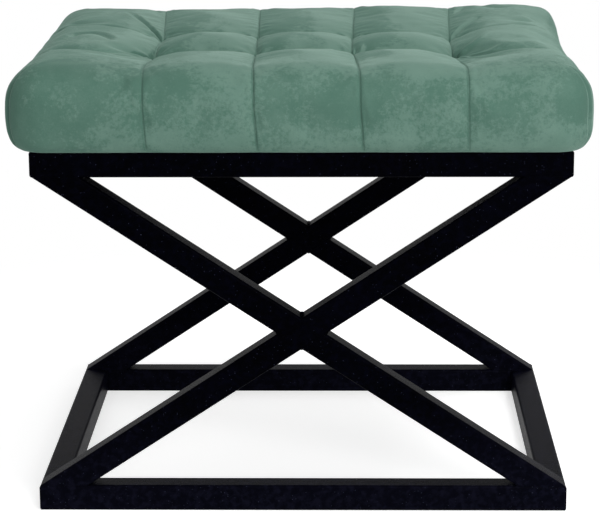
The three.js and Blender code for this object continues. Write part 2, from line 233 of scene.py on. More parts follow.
def new_group(name: str, output: str, **inputs: float) -> tuple[
        NodeSheet, dict[str, Output], bpy.types.NodeSocket]:
    """Starts a shader node group that takes a place and numbers, and puts out one number.

    Args:
        name: The group's name.
        output: The output's name.
        inputs: Each number's starting value, by name in small letters.

    Returns:
        The group's sheet, its inputs by name in small letters, and the socket that takes
        what it puts out.
    """
    tree = bpy.data.node_groups.new(name, "ShaderNodeTree")
    tree.interface.new_socket(name="Place", in_out="INPUT", socket_type="NodeSocketVector")
    for label, value in inputs.items():
        socket = tree.interface.new_socket(
            name=label.capitalize(), in_out="INPUT", socket_type="NodeSocketFloat")
        socket.default_value = value
    tree.interface.new_socket(name=output, in_out="OUTPUT", socket_type="NodeSocketFloat")
    sheet = NodeSheet(tree)
    entry = sheet.add("NodeGroupInput", {})
    given = {label: Output(sheet, entry.outputs[label.capitalize()]) for label in ("place", *inputs)}
    return sheet, given, sheet.add("NodeGroupOutput", {}).inputs[output]


@cache
def mottle_group() -> bpy.types.NodeTree:
    """Blotches with ragged edges: where a nap lies the other way, or a coat is thicker.

    Returns:
        The group's tree, whose mask is 1 inside the blotches.
    """
    sheet, given, mask = new_group("mottle", "Mask", scale=20.0, breakup=0.4, softness=0.1, bias=0.0)
    finer = 14.0
    broad = sheet.noise(given["place"], given["scale"], detail=3.0, roughness=0.55, distortion=0.3)
    ragged = sheet.noise(given["place"], given["scale"] * finer, detail=4.0, roughness=0.8)
    level = broad + (ragged - 0.5) * given["breakup"] + given["bias"]
    sheet.feed(mask, sheet.step(level, 0.5 - given["softness"], given["softness"] + 0.5))
    return sheet.tree


@cache
def grain_group() -> bpy.types.NodeTree:
    """A fine, even grain in two sizes.

    Returns:
        The group's tree, whose height is from 0 to 1.
    """
    sheet, given, height = new_group("grain", "Height", scale=600.0)
    finer = 2.7
    coarse = sheet.noise(given["place"], given["scale"], detail=1.0)
    fine = sheet.noise(given["place"], given["scale"] * finer, detail=1.0)
    sheet.feed(height, sheet.between(coarse + fine, -0.5, 0.5))
    return sheet.tree


@cache
def fleck_group() -> bpy.types.NodeTree:
    """Small scattered specks, such as glints in a coat or lint on cloth.

    Returns:
        The group's tree, whose mask is 1 on a speck.
    """
    sheet, given, mask = new_group("flecks", "Mask", scale=500.0, size=0.2, cover=0.3)
    cells = sheet.add("ShaderNodeTexVoronoi", {"Vector": given["place"], "Scale": given["scale"]})
    distance, colour = (Output(sheet, cells.outputs[part]) for part in ("Distance", "Color"))
    chosen = sheet.math("LESS_THAN", sheet.put("ShaderNodeSeparateColor", {0: colour}), given["cover"])
    sheet.feed(mask, sheet.step(distance, given["size"], 0.0) * chosen)
    return sheet.tree


# Finishes


class Finish(Protocol):
    """A finish that a piece can be dressed in."""

    slot: Slot
    name: str

    def paint(self, sheet: NodeSheet, place: Output) -> None:
        """Lays the finish's nodes on a material's sheet.

        Args:
            sheet: The sheet.
            place: The point on the piece.
        """


@dataclass(frozen=True)
class PowderCoat:
    """Fine-textured black powder coat with a cold tint, and painted light that makes it paler near the
    floor.
    """

    slot: Slot = Slot.POWDER_COAT
    name: str = "powder_coat_black"
    coat: Colour = (0.0001, 0.0001, 0.0004)
    thin_coat: Colour = (0.0010, 0.0011, 0.0038)
    painted_low_light: Colour = (0.0060, 0.0062, 0.0136)
    painted_low_light_heights: tuple[float, float] = (0.12, 0.01)
    glint: Colour = (0.10, 0.11, 0.18)
    roughness: tuple[float, float] = (0.23, 0.47)
    gloss: float = 0.0065
    pebble_depth: float = 0.16 * MM

    def paint(self, sheet: NodeSheet, place: Output) -> None:
        """Lays slow changes of tone, a fine pebbled relief, sparse glints and painted light low down.

        Args:
            sheet: The material's sheet.
            place: The point on the piece.
        """
        tone = sheet.use(mottle_group(), place, scale=14.0, breakup=0.9, softness=0.35)
        specks = sheet.use(mottle_group(), place, scale=170.0, breakup=0.9, softness=0.12, bias=-0.06)
        glints = sheet.use(fleck_group(), place, scale=620.0, size=0.22, cover=0.10)
        pebble = sheet.use(grain_group(), place, scale=900.0)
        height = sheet.split(place)[2]
        # painted light: specks of the coat are made paler low down, standing in for light off the
        # floor, while the top rails keep the dark of the cushion's shade
        low_light_share = sheet.step(height, *self.painted_low_light_heights) * sheet.between(specks, 0.25, 0.75)
        colour = sheet.blend(tone * 0.45 + specks * 0.55, self.coat, self.thin_coat)
        colour = sheet.blend(low_light_share, colour, self.painted_low_light)
        sheet.surface(
            base_color=sheet.blend(glints, colour, self.glint),
            roughness=sheet.between(pebble, *self.roughness),
            specular_ior_level=self.gloss,
            normal=sheet.bump(pebble, self.pebble_depth),
        )


@dataclass(frozen=True)
class Velvet:
    """Short-pile green velvet whose nap lies in blotches, lighter where it is brushed up.

    Light and shade are painted into its colour by where it lies and which way it faces: each
    painted light makes more of the velvet pale, and each painted shade makes more of it deep.
    A band is where a change along X, Y or Z begins and ends. A turn is the same for a part
    of the direction that the velvet faces.
    """

    slot: Slot = Slot.VELVET
    name: str = "velvet_green"
    deep: Colour = (0.074, 0.158, 0.121)
    pale: Colour = (0.141, 0.244, 0.197)
    sheen_tint: Colour = (0.62, 0.86, 0.76)
    pile_depth: float = 0.14 * MM
    painted_light_right: float = 2.6
    painted_light_back: float = 0.35
    painted_light_up: float = 0.090
    painted_light_low: float = 0.080
    painted_light_along: float = 0.14
    low_skew: float = 2.5
    low_band: tuple[float, float] = (0.385, 0.355)
    painted_front_shade: float = 0.042
    front_band: tuple[float, float] = (-0.170, -0.130)
    front_turn: tuple[float, float] = (0.66, 0.98)
    top_turn: tuple[float, float] = (0.40, 0.85)
    hill_sharpness: float = 6.0
    hill_band: tuple[float, float] = (0.150, 0.190)
    hill_rest: float = 0.2
    painted_end_shade: float = 0.12
    end_skew: float = 0.36
    end_band: tuple[float, float] = (0.150, 0.240)
    painted_turn_shade: float = 0.30
    painted_panel_light: float = 0.4
    panel_turn: tuple[float, float] = (0.757, 0.846)
    shoulder_turn: tuple[float, float] = (0.75, 0.10)

    def paint(self, sheet: NodeSheet, place: Output) -> None:
        """Lays broad and small blotches shifted by painted light and shade, pile grain and a soft
        sheen.

        Args:
            sheet: The material's sheet.
            place: The point on the piece.
        """
        # lean is the painted light and shade, which shifts the blotches towards pale or deep
        lean = self.lean(sheet, place)
        brushed = sheet.use(mottle_group(), place, scale=15.0, breakup=0.8, softness=0.10, bias=lean)
        clouds = sheet.use(mottle_group(), place, scale=38.0, breakup=0.7, softness=0.25, bias=lean)
        pile = sheet.use(grain_group(), place, scale=1500.0)
        share = brushed * 0.55 + clouds * 0.33 + sheet.between(pile, -0.08, 0.08)
        sheet.surface(
            base_color=sheet.blend(share, self.deep, self.pale),
            roughness=sheet.between(brushed, 0.88, 0.74),
            specular_ior_level=0.15,
            sheen_weight=0.28,
            sheen_roughness=0.38,
            sheen_tint=self.sheen_tint,
            normal=sheet.bump(pile + brushed, self.pile_depth),
        )

    def lean(self, sheet: NodeSheet, place: Output) -> Output:
        """Painted light and shade: how much paler or deeper the velvet is painted by where it lies and
        which way it faces.

        Args:
            sheet: The material's sheet.
            place: The point on the piece.

        Returns:
            A bias for the blotches, above 0 where more of them are pale.
        """
        x, y, z = sheet.split(place)
        right, back, up = sheet.split(sheet.put("ShaderNodeNewGeometry", output="Normal"))
        behind = sheet.step(y, *self.front_band)
        from_middle = sheet.math("ABSOLUTE", x)

        # painted light and shade on the puffs' slopes: slopes facing right and back are painted paler,
        # slopes facing left deeper, as if lit from the right
        inner = behind * sheet.between(sheet.step(from_middle, *self.hill_band), 1.0, self.hill_rest)
        slope = right * self.painted_light_right + back * self.painted_light_back
        hills = sheet.math("POWER", up, self.hill_sharpness) * slope * inner
        # painted light on a low band of the sides, stronger towards the right
        low = sheet.step(z, *self.low_band) * self.painted_light_low * (x * self.low_skew + 1.0)

        # painted light on the upward-facing tops and painted shade on the front faces
        begins, ends = (sheet.between(behind, *turns) for turns in zip(self.front_turn, self.top_turn))
        on_top = sheet.step(up, begins, ends)
        # painted shade on the tops of both ends, deeper at the left end
        dimmed = (x * -self.end_skew + self.painted_end_shade) * on_top * sheet.step(from_middle, *self.end_band)
        level = sheet.between(on_top, -self.painted_front_shade, self.painted_light_up) - dimmed

        # painted shade where the velvet turns to face left or right, with painted light on the flat of
        # the end panels
        sideways = right * right
        panel = sheet.step(sideways / (1.0 - up * up), *self.panel_turn)
        panel = panel * sheet.step(up, *self.shoulder_turn)
        turned = sideways * self.painted_turn_shade * sheet.between(panel, 1.0, -self.painted_panel_light)
        # painted light that grows towards the right
        return hills + (low + x * self.painted_light_along) + level - turned


@dataclass(frozen=True)
class Foam:
    """Open-cell upholstery foam, a little yellowed."""

    slot: Slot = Slot.FOAM
    name: str = "foam_yellow"
    pale: Colour = (0.74, 0.66, 0.41)
    aged: Colour = (0.62, 0.50, 0.26)
    cell_depth: float = 0.4 * MM

    def paint(self, sheet: NodeSheet, place: Output) -> None:
        """Lays open cells over slow changes of tone.

        Args:
            sheet: The material's sheet.
            place: The point on the piece.
        """
        tone = sheet.use(mottle_group(), place, scale=12.0, breakup=0.3, softness=0.4)
        cells = sheet.use(fleck_group(), place, scale=900.0, size=0.5, cover=0.7)
        sheet.surface(
            base_color=sheet.blend(tone, self.pale, self.aged),
            roughness=0.95,
            specular_ior_level=0.1,
            normal=sheet.bump(1.0 - cells, self.cell_depth),
        )


@dataclass(frozen=True)
class Plywood:
    """Rotary-cut poplar plywood, with its plies showing at the edge."""

    slot: Slot = Slot.PLYWOOD
    name: str = "plywood"
    pale: Colour = (0.56, 0.40, 0.22)
    dark: Colour = (0.36, 0.22, 0.10)
    ply: float = 2.4 * MM
    glue: float = 0.25 * MM
    grain_depth: float = 0.25 * MM

    def paint(self, sheet: NodeSheet, place: Output) -> None:
        """Lays long grain on the faces and dark glue lines at the edge.

        Args:
            sheet: The material's sheet.
            place: The point on the piece.
        """
        along = sheet.put("ShaderNodeMapping", {"Vector": place, "Scale": (1.0, 14.0, 14.0)})
        figure = sheet.noise(along, 9.0, detail=5.0, roughness=0.6, distortion=1.4)
        tone = sheet.use(mottle_group(), place, scale=8.0, breakup=0.4, softness=0.4)
        layer = sheet.math("PINGPONG", sheet.split(place)[2], self.ply)
        stain = sheet.math("MAXIMUM", sheet.step(layer, self.glue, 0.0), tone * 0.25)
        grain = sheet.step(figure, 0.35, 0.7)
        sheet.surface(
            base_color=sheet.blend(stain, sheet.blend(grain, self.pale, self.dark), self.dark),
            roughness=sheet.between(grain, 0.72, 0.85),
            normal=sheet.bump(figure, self.grain_depth),
        )


@dataclass(frozen=True)
class BlackCloth:
    """Thin non-woven black cloth: pressed fibres with a dotted bond."""

    slot: Slot = Slot.BLACK_CLOTH
    name: str = "black_cloth"
    ground: Colour = (0.013, 0.013, 0.014)
    fibre: Colour = (0.045, 0.045, 0.048)
    dot_depth: float = 0.12 * MM

    def paint(self, sheet: NodeSheet, place: Output) -> None:
        """Lays streaky fibres, pressed dots and some lint.

        Args:
            sheet: The material's sheet.
            place: The point on the piece.
        """
        streaks = sheet.noise(place, 420.0, detail=4.0, roughness=0.75, distortion=2.2)
        thin = sheet.use(mottle_group(), place, scale=60.0, breakup=0.8, softness=0.4)
        dots = sheet.use(fleck_group(), place, scale=450.0, size=0.35, cover=0.9)
        lint = sheet.use(fleck_group(), place, scale=160.0, size=0.08, cover=0.15)
        shown = sheet.math("MAXIMUM", streaks * thin, lint)
        sheet.surface(
            base_color=sheet.blend(shown, self.ground, self.fibre),
            roughness=0.9,
            specular_ior_level=0.25,
            normal=sheet.bump(streaks - dots, self.dot_depth),
        )


@dataclass(frozen=True)
class Twine:
    """Waxed cotton twine, laid from twisted strands."""

    slot: Slot = Slot.TWINE
    name: str = "waxed_twine"
    pale: Colour = (0.66, 0.60, 0.46)
    dark: Colour = (0.38, 0.32, 0.22)
    strand_depth: float = 0.3 * MM

    def paint(self, sheet: NodeSheet, place: Output) -> None:
        """Lays slanted strands with a fine fuzz, and painted shade between the strands.

        Args:
            sheet: The material's sheet.
            place: The point on the piece.
        """
        twist = {"Vector": place, "Scale": 260.0, "Distortion": 0.6}
        strands = sheet.put(
            "ShaderNodeTexWave", twist, 1, wave_type="BANDS", bands_direction="DIAGONAL")
        fuzz = sheet.use(grain_group(), place, scale=2200.0)
        groove = strands * fuzz
        sheet.surface(
            # painted shade: the colour is deepest where the strands' height is lowest, in the grooves
            # between them
            base_color=sheet.blend(groove, self.dark, self.pale),
            roughness=sheet.between(fuzz, 0.6, 0.8),
            normal=sheet.bump(groove, self.strand_depth),
        )


@dataclass(frozen=True)
class ZincSteel:
    """Zinc-plated steel, a little dull and clouded."""

    slot: Slot = Slot.ZINC_STEEL
    name: str = "zinc_plated_steel"
    bright: Colour = (0.40, 0.41, 0.43)
    dull: Colour = (0.25, 0.26, 0.28)
    scratch_depth: float = 0.05 * MM

    def paint(self, sheet: NodeSheet, place: Output) -> None:
        """Lays clouds of dull zinc and fine scratches.

        Args:
            sheet: The material's sheet.
            place: The point on the piece.
        """
        clouds = sheet.use(mottle_group(), place, scale=180.0, breakup=0.8, softness=0.3)
        grain = sheet.use(grain_group(), place, scale=2600.0)
        sheet.surface(
            base_color=sheet.blend(clouds, self.bright, self.dull),
            metallic=1.0,
            roughness=sheet.between(clouds, 0.3, 0.5),
            normal=sheet.bump(grain, self.scratch_depth),
        )


@cache
def made(finish: Finish) -> bpy.types.Material:
    """Makes a finish's material, once.

    Args:
        finish: The finish.

    Returns:
        The material.
    """
    material, sheet = new_material(finish.name)
    finish.paint(sheet, sheet.place())
    return material


def dress(piece: bpy.types.Object, finish: Finish) -> None:
    """Gives a piece its finish.

    Args:
        piece: The piece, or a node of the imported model.
        finish: The finish.
    """
    if not piece.material_slots:
        piece.data.materials.append(None)
    for place in piece.material_slots:
        place.material = made(finish)


# Meshes


def add_object(name: str, points: np.ndarray, faces: Iterable[Face]) -> bpy.types.Object:
    """Adds a mesh object to the scene.

    Args:
        name: Its name and its mesh's.
        points: Its vertices in metres.
        faces: Its faces.

    Returns:
        The object.
    """
    mesh = bpy.data.meshes.new(name)
    mesh.from_pydata(np.asarray(points, float).tolist(), [], list(faces))
    made_object = bpy.data.objects.new(name, mesh)
    bpy.context.scene.collection.objects.link(made_object)
    return made_object


def add_piece(name: str, points: np.ndarray, faces: Iterable[Face], finish: Finish,
              stands_for: Sequence[str] = ()) -> bpy.types.Object:
    """Adds a smooth-shaded piece that rides on the stool.

    Args:
        name: The piece's name.
        points: Its vertices in metres.
        faces: Its faces.
        finish: Its finish.
        stands_for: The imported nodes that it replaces.

    Returns:
        The piece.
    """
    piece = add_object(name, points, faces)
    piece.data.shade_smooth()
    dress(piece, finish)
    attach(piece, BODY)
    if stands_for:
        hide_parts(*stands_for)
    log.info("%s: %d vertices", name, len(piece.data.vertices))
    return piece


def fitted(piece: bpy.types.Object) -> tuple[np.ndarray, list[Face]]:
    """Reads a piece with its modifiers run.

    Args:
        piece: The piece.

    Returns:
        Its vertices, one row each, and its faces.
    """
    bpy.context.view_layer.update()
    mesh = piece.evaluated_get(bpy.context.evaluated_depsgraph_get()).data
    points = np.empty(len(mesh.vertices) * 3, np.float32)
    mesh.vertices.foreach_get("co", points)
    return points.reshape(-1, 3).astype(float), [tuple(polygon.vertices) for polygon in mesh.polygons]


def grid_faces(rows: int, columns: int) -> list[Face]:
    """The faces of a grid of vertices.

    Args:
        rows: How many rows of vertices there are.
        columns: How many vertices a row has.

    Returns:
        The faces, row by row.
    """
    return [
        (i * columns + j, (i + 1) * columns + j, (i + 1) * columns + j + 1, i * columns + j + 1)
        for i in range(rows - 1) for j in range(columns - 1)
    ]


def band(upper: Sequence[int], lower: Sequence[int]) -> list[Face]:
    """The faces between two closed loops of vertices.

    Args:
        upper: One loop, where a vertex may come more than once in a row.
        lower: The other loop, with as many places.

    Returns:
        The faces, with a triangle wherever the upper loop stays at one vertex.
    """
    return [
        (a, c, d) if a == b else (a, c, d, b)
        for a, b, c, d in zip(upper, (*upper[1:], upper[0]), lower, (*lower[1:], lower[0]))
    ]


def open_loop(faces: Sequence[Face]) -> list[int]:
    """Finds the vertices along a surface's one open edge, in order.

    Args:
        faces: The surface's faces.

    Returns:
        The loop of vertices.
    """
    edges: dict[tuple[int, int], None] = {}
    for face in faces:
        for a, b in pairwise((*face, face[0])):
            if (b, a) in edges:
                del edges[(b, a)]
            else:
                edges[(a, b)] = None
    follow = dict(edges.keys())
    start = next(iter(follow))
    loop, current = [start], follow[start]
    while current != start:
        loop.append(current)
        current = follow[current]
    return loop


def cloud(points: np.ndarray, scale: float, seed: float) -> np.ndarray:
    """A smooth noise from -1 to 1 at each point, with so many clouds in a metre, shifted by a seed."""
    shifted = points * scale + (seed, -seed, 2.0 * seed)
    return np.fromiter((noise.noise(Vector(point)) for point in shifted), float, len(shifted))


def ramp(value: np.ndarray, start: float, end: float) -> np.ndarray:
    """Rises from 0 at the start to 1 at the end, and stays level beyond them."""
    return np.clip((value - start) / (end - start), 0, 1)


def mound(distance: np.ndarray, reach: float) -> np.ndarray:
    """Falls smoothly from 1 at no distance to about a third at the reach."""
    return np.exp(-(distance / reach) ** 2)


# Cushion

# How far down a side its rounded upper edge ends and its rounded hem begins, where 0 is the
# top's edge line and 1 is the hem's lowest line.
SHOULDER, HEM = 0.3, 0.7


@dataclass(frozen=True)
class Quilting:
    """The tufts and the seams that draw the cushion's top down.

    A depth is how far the velvet is drawn down, and a reach is how far the valley spreads.
    Outer values hold beyond the last tufts. The rows fade towards the ends, the front one by
    its own share, and the front band is where that share gives way along Y.
    """

    columns: tuple[float, ...] = (-0.147, -0.049, 0.049, 0.147)
    rows: tuple[float, ...] = (-0.050, 0.050)
    tuft_depth: float = 0.020
    tuft_reach: float = 0.045
    column_stations: tuple[float, ...] = (-0.192, -0.140, -0.050, 0.0, 0.050, 0.140, 0.192)
    column_depths: tuple[float, ...] = (0.0045, 0.0062, 0.0075, 0.0085, 0.0075, 0.0046, 0.0006)
    column_reach: float = 0.049
    outer_column_reach: float = 0.092
    outer_column_share: float = 1.3
    widening: tuple[float, float] = (0.035, 0.085)
    row_depth: float = 0.0135
    row_reach: float = 0.050
    outer_row_reach: float = 0.100
    round_share: float = 0.15
    front_fade: float = 0.85
    front_band: tuple[float, float] = (-0.062, -0.042)

    @staticmethod
    def nearest(places: Sequence[float], value: np.ndarray) -> np.ndarray:
        """The distance from each value to the nearest place."""
        return np.min([np.abs(value - place) for place in places], axis=0)

    def valley(self, distance: np.ndarray, reach: np.ndarray) -> np.ndarray:
        """Falls from 1 on a seam to 0 at its reach, with a stuffed shoulder.

        Args:
            distance: Distances from the seam.
            reach: How far its valley spreads at each of them.

        Returns:
            A share of the seam's depth for each distance.
        """
        share = np.minimum(distance / reach, 1.0)
        rounded, sharp = (1 + np.cos(math.pi * share)) / 2, (1 - share) ** 2
        return self.round_share * rounded + (1 - self.round_share) * sharp

    def drop(self, x: np.ndarray, y: np.ndarray, half_width: float) -> np.ndarray:
        """How far the top is drawn down.

        Args:
            x: Places along the front, measured between straight seams.
            y: Places from the front to the back.
            half_width: Half the top's width.

        Returns:
            A depth in metres for each place.
        """
        to_column, to_row = self.nearest(self.columns, x), self.nearest(self.rows, y)
        last_column, last_row = self.columns[-1], self.rows[-1]
        behind = ramp(y, *self.front_band)
        beyond = ramp(np.abs(x), last_column, half_width)
        faded = np.sin(np.minimum(beyond * (1 + behind), 1) * math.pi / 2)
        hold = 1 - (self.front_fade + (1 - self.front_fade) * behind) * faded
        deepest = self.tuft_depth / 2 ** (1 / 3)
        near_row = (1 - np.minimum(to_row / self.tuft_reach, 1)) ** 2
        near_column = (1 - np.minimum(to_column / self.tuft_reach, 1)) ** 2
        outer = np.abs(x) > (last_column + self.columns[-2]) / 2
        column_depth = np.interp(y, self.column_stations, self.column_depths)
        column_depth = column_depth * np.where(outer, self.outer_column_share, 1.0)
        column_depth = column_depth + (deepest - column_depth) * near_row
        row_depth = self.row_depth + (deepest - self.row_depth) * near_column
        wide_reach = np.interp(np.abs(y), self.widening, (self.column_reach, self.outer_column_reach))
        column_reach = np.where(np.abs(x) > last_column, wide_reach, self.column_reach)
        row_reach = np.where(np.abs(y) > last_row, self.outer_row_reach, self.row_reach)
        along_column = column_depth * self.valley(to_column, column_reach)
        along_row = row_depth * hold * self.valley(to_row, row_reach)
        return np.cbrt(along_column ** 3 + along_row ** 3)


@dataclass(frozen=True)
class Crease:
    """A sewn line: a sharp crease with a soft lip beside it."""

    depth: float
    width: float
    lip: float = 0.0
    lip_at: float = 0.0
    lip_reach: float = 1.0

    def sink(self, distance: np.ndarray) -> np.ndarray:
        """How deep the crease is at each distance from it, less its lip."""
        lip = self.lip * mound(distance - self.lip_at, self.lip_reach)
        return self.depth * (np.exp(-distance / self.width) - lip)


@dataclass(frozen=True)
class Fold:
    """A fold in the velvet that runs out along a path, widens and fades."""

    path: tuple[tuple[float, float], ...]
    depth: float
    width: float
    narrow: float = 0.7
    widens: float = 0.6
    steepness: float = 1.5
    risen: float = 0.2
    lip: float = 0.1
    lip_at: float = 2.2
    lip_reach: float = 0.9

    def sink(self, x: np.ndarray, y: np.ndarray) -> np.ndarray:
        """Finds how deep the fold is, less the lips beside it.

        Args:
            x: Places along the front.
            y: Places from the front to the back.

        Returns:
            A depth in metres for each place.
        """
        corners = np.array(self.path)
        steps = np.linalg.norm(np.diff(corners, axis=0), axis=1)
        before = np.concatenate([[0.0], np.cumsum(steps)])
        away, along = np.full_like(x, np.inf), np.zeros_like(x)
        for (ax, ay), (bx, by), step, start in zip(corners, corners[1:], steps, before):
            share = np.clip(((x - ax) * (bx - ax) + (y - ay) * (by - ay)) / step ** 2, 0, 1)
            distance = np.hypot(x - ax - share * (bx - ax), y - ay - share * (by - ay))
            nearer = distance < away
            away = np.where(nearer, distance, away)
            along = np.where(nearer, (start + share * step) / before[-1], along)
        width = self.width * (self.narrow + self.widens * along)
        fade = np.sin(ramp(along, 0, self.risen) * math.pi / 2) * (1 - along) ** 0.5
        away = away / width
        lip = self.lip * mound(away - self.lip_at, self.lip_reach)
        return self.depth * fade * (np.exp(-np.abs(away) ** self.steepness) - lip)


@dataclass(frozen=True)
class Ring:
    """One ring down the cushion's side, shared by every point of the top's edge line.

    Attributes:
        reach: How far out of the edge line it lies.
        height: Its height.
        dip: Its share of the top's valleys.
        drawn: Its share of the side's drawing in.
        down: How far down the side it is, from 0 to 1.
        slope: The angle along which the upper edge is stuffed out, or 0 below that edge.
    """

    reach: float
    height: float
    dip: float
    drawn: float
    down: float
    slope: float = 0.0


@dataclass(frozen=True)
class Skin:
    """A surface of the cushion.

    Attributes:
        points: Its vertices.
        faces: Its faces.
        rim: The vertices along its open edge, under the board.
        plan: Each vertex's place on the top, between straight seams.
        down: How far down the side each vertex is, from 0 to 1.
        fan: Each vertex's angle round a corner from the side face, or -1 elsewhere.
    """

    points: np.ndarray
    faces: list[Face]
    rim: list[int]
    plan: np.ndarray
    down: np.ndarray
    fan: np.ndarray


@dataclass(frozen=True)
class CushionForm:
    """The cushion's form: a top sampled on and beside every seam, and rings down its sides.

    Fullness and unevenness are mounds of filling, each a place and a height. Each column seam
    wanders by a shift at the front, at both rows of tufts and at the back, and its low end has
    a shift of its own at the front's hem.
    """

    quilting: Quilting = Quilting()
    half_width: float = 0.268
    half_depth: float = 0.228
    top: float = 0.4274
    base: float = 0.3483
    top_radius: float = 0.036
    hem_radius: float = 0.0185
    hem_reach: float = 0.031
    hem_sag: float = 0.0030
    hem_corner: float = 0.004
    hem_draw: float = 0.35
    puff_rise: float = 0.0006
    puff_edge: float = 0.044
    face_seam_depth: float = 0.0019
    face_seam_reach: float = 0.046
    right_waist: float = 0.0040
    left_waist: float = 0.0008
    row_bend: float = 0.050
    fullness: tuple[Spot, ...] = (
        (0.232, 0.192, 0.0092), (-0.232, 0.192, 0.0034), (-0.232, 0.050, 0.0042),
        (0.232, 0.050, 0.0030), (0.232, -0.090, 0.0038))
    fullness_reach: float = 0.070
    fullness_out: float = 0.6
    fullness_up: float = 0.95
    uneven: tuple[Spot, ...] = (
        (-0.172, 0.190, -0.0022), (-0.100, 0.185, -0.0022), (0.000, 0.190, -0.0012),
        (0.075, 0.185, 0.0022), (0.172, 0.190, 0.0012), (-0.170, -0.098, -0.0060),
        (0.174, -0.100, -0.0068), (-0.098, -0.100, -0.0028))
    uneven_reach: float = 0.034
    seams_wander: tuple[tuple[float, ...], ...] = (
        (0.0020, 0.0015, 0.0025, -0.0060),
        (0.0050, 0.0025, 0.0010, -0.0025),
        (0.0040, -0.0020, -0.0010, 0.0010),
        (0.0050, -0.0020, -0.0010, 0.0040))
    seams_low_ends: tuple[float, ...] = (0.0060, 0.0100, 0.0090, 0.0065)
    left_spread: float = 0.0045
    right_spread: float = -0.0005
    right_swell: float = 0.0020
    left_hem: float = 0.0020
    right_hem: float = 0.0014
    hem_band: tuple[float, float] = (0.55, 0.85)
    seam_gap_steps: int = 24
    side_gap_steps: int = 20
    front_gap_steps: int = 30
    edge_packing: float = 0.55
    seam_packing: float = 0.7
    top_steps: int = 12
    wall_steps: int = 6
    hem_steps: int = 7
    under_steps: int = 6
    corner_steps: int = 12
    corner_seam: float = math.radians(30)

    @property
    def top_half(self) -> tuple[float, float]:
        """Half the width and depth of the top inside its rounded edge."""
        return self.half_width - self.top_radius, self.half_depth - self.top_radius

    def lines(self, seams: Sequence[float], half: float, outer: int) -> np.ndarray:
        """Sample places across the top, closer together beside each seam.

        Args:
            seams: Where the seams are.
            half: Half the length that is sampled.
            outer: Steps from the last seam to the edge.

        Returns:
            The places in rising order.
        """
        even = np.arange(outer) / outer
        share = np.arange(self.seam_gap_steps) / self.seam_gap_steps
        edge = even - self.edge_packing * np.sin(math.pi * even) / math.pi
        edge = seams[-1] + (half - seams[-1]) * edge
        packed = share - self.seam_packing * np.sin(2 * math.pi * share) / (2 * math.pi)
        middle = [low + (high - low) * packed for low, high in pairwise(seams)]
        right = np.append(edge, half)
        return np.concatenate([-right[::-1][:-1], *middle, right])

    @cached_property
    def across(self) -> np.ndarray:
        """Sample places along the front."""
        return self.lines(self.quilting.columns, self.top_half[0], self.side_gap_steps)

    @cached_property
    def deep(self) -> np.ndarray:
        """Sample places from the front to the back."""
        return self.lines(self.quilting.rows, self.top_half[1], self.front_gap_steps)

    def sway(self, x: np.ndarray, y: np.ndarray, down: np.ndarray) -> np.ndarray:
        """How far the column seams wander from straight lines.

        Args:
            x: Places along the front.
            y: Places from the front to the back.
            down: How far down a side each place is, from 0 to 1.

        Returns:
            A shift along X for each place, in metres.
        """
        wide, long = self.top_half
        stations = (-long, *self.quilting.rows, long)
        front = (y <= -long) * down
        shifts = [
            np.interp(y, stations, seam) * (1 - front) + low * front
            for seam, low in zip(self.seams_wander, self.seams_low_ends)
        ]
        at_hem = ramp(down, *self.hem_band)
        forwards = np.clip(-y / self.half_depth, 0, 1)
        swell = self.right_swell * forwards * np.sin(math.pi * np.clip(down, 0, 1))
        left_end = at_hem * self.left_hem - self.left_spread
        right_end = self.right_spread + swell + at_hem * self.right_hem
        result = np.zeros_like(x)
        knots = zip((-wide, *self.quilting.columns, wide), (left_end, *shifts, right_end))
        for (left, low), (right, high) in pairwise(knots):
            share = (x - left) / (right - left)
            result = np.where((share >= 0) & (share <= 1), low + (high - low) * share, result)
        return result

    def bend(self, x: np.ndarray, y: np.ndarray) -> np.ndarray:
        """Finds how far the front row's valley bends forwards beyond its last tufts.

        Args:
            x: Places along the front.
            y: Places from the front to the back.

        Returns:
            A shift along Y for each place, in metres.
        """
        wide, long = self.top_half
        first = self.quilting.rows[0]
        beyond = ramp(np.abs(x), self.quilting.columns[-1], wide)
        near = np.interp(y, (-long, first, -first), (0.0, 1.0, 0.0))
        return -self.row_bend * near * np.sin(beyond * math.pi / 2)

    @staticmethod
    def heaps(x: np.ndarray, y: np.ndarray, spots: Sequence[Spot], reach: float) -> list[np.ndarray]:
        """The height at each place of the mound round each spot, which is given with its own height."""
        return [rise * mound(np.hypot(x - px, y - py), reach) for px, py, rise in spots]

    def fill(self, x: np.ndarray, y: np.ndarray) -> np.ndarray:
        """How far the upper edge is stuffed out beyond its round, at each place."""
        return np.max(self.heaps(x, y, self.fullness, self.fullness_reach), axis=0)

    def lift(self, x: np.ndarray, y: np.ndarray) -> np.ndarray:
        """Finds how far the filling stands above the edge line.

        Args:
            x: Places along the front.
            y: Places from the front to the back.

        Returns:
            A height in metres for each place.
        """
        wide, long = self.top_half
        along = ramp(np.abs(y), self.quilting.rows[-1], long)
        from_side = ramp(wide - np.abs(x), 0, self.puff_edge)
        puffs = self.puff_rise * np.sin(math.pi * along) * np.sqrt(from_side)
        return puffs + np.sum(self.heaps(x, y, self.uneven, self.uneven_reach), axis=0)

    def draw(self, x: np.ndarray, y: np.ndarray, normals: np.ndarray) -> np.ndarray:
        """How far the sides are drawn in: at the seams' ends, and between the corners.

        Args:
            x: Places of the edge line along the front.
            y: Its places from the front to the back.
            normals: Its outward directions.

        Returns:
            A distance in metres for each place.
        """
        to_column = self.quilting.nearest(self.quilting.columns, x)
        seams = self.face_seam_depth * self.quilting.valley(to_column, self.face_seam_reach)
        waist = np.where(normals[:, 0] > 0, self.right_waist, self.left_waist)
        waist = waist * np.cos(math.pi / 2 * y / self.half_depth) ** 0.7
        return np.maximum(np.abs(normals[:, 1]) * seams, np.abs(normals[:, 0]) * waist)

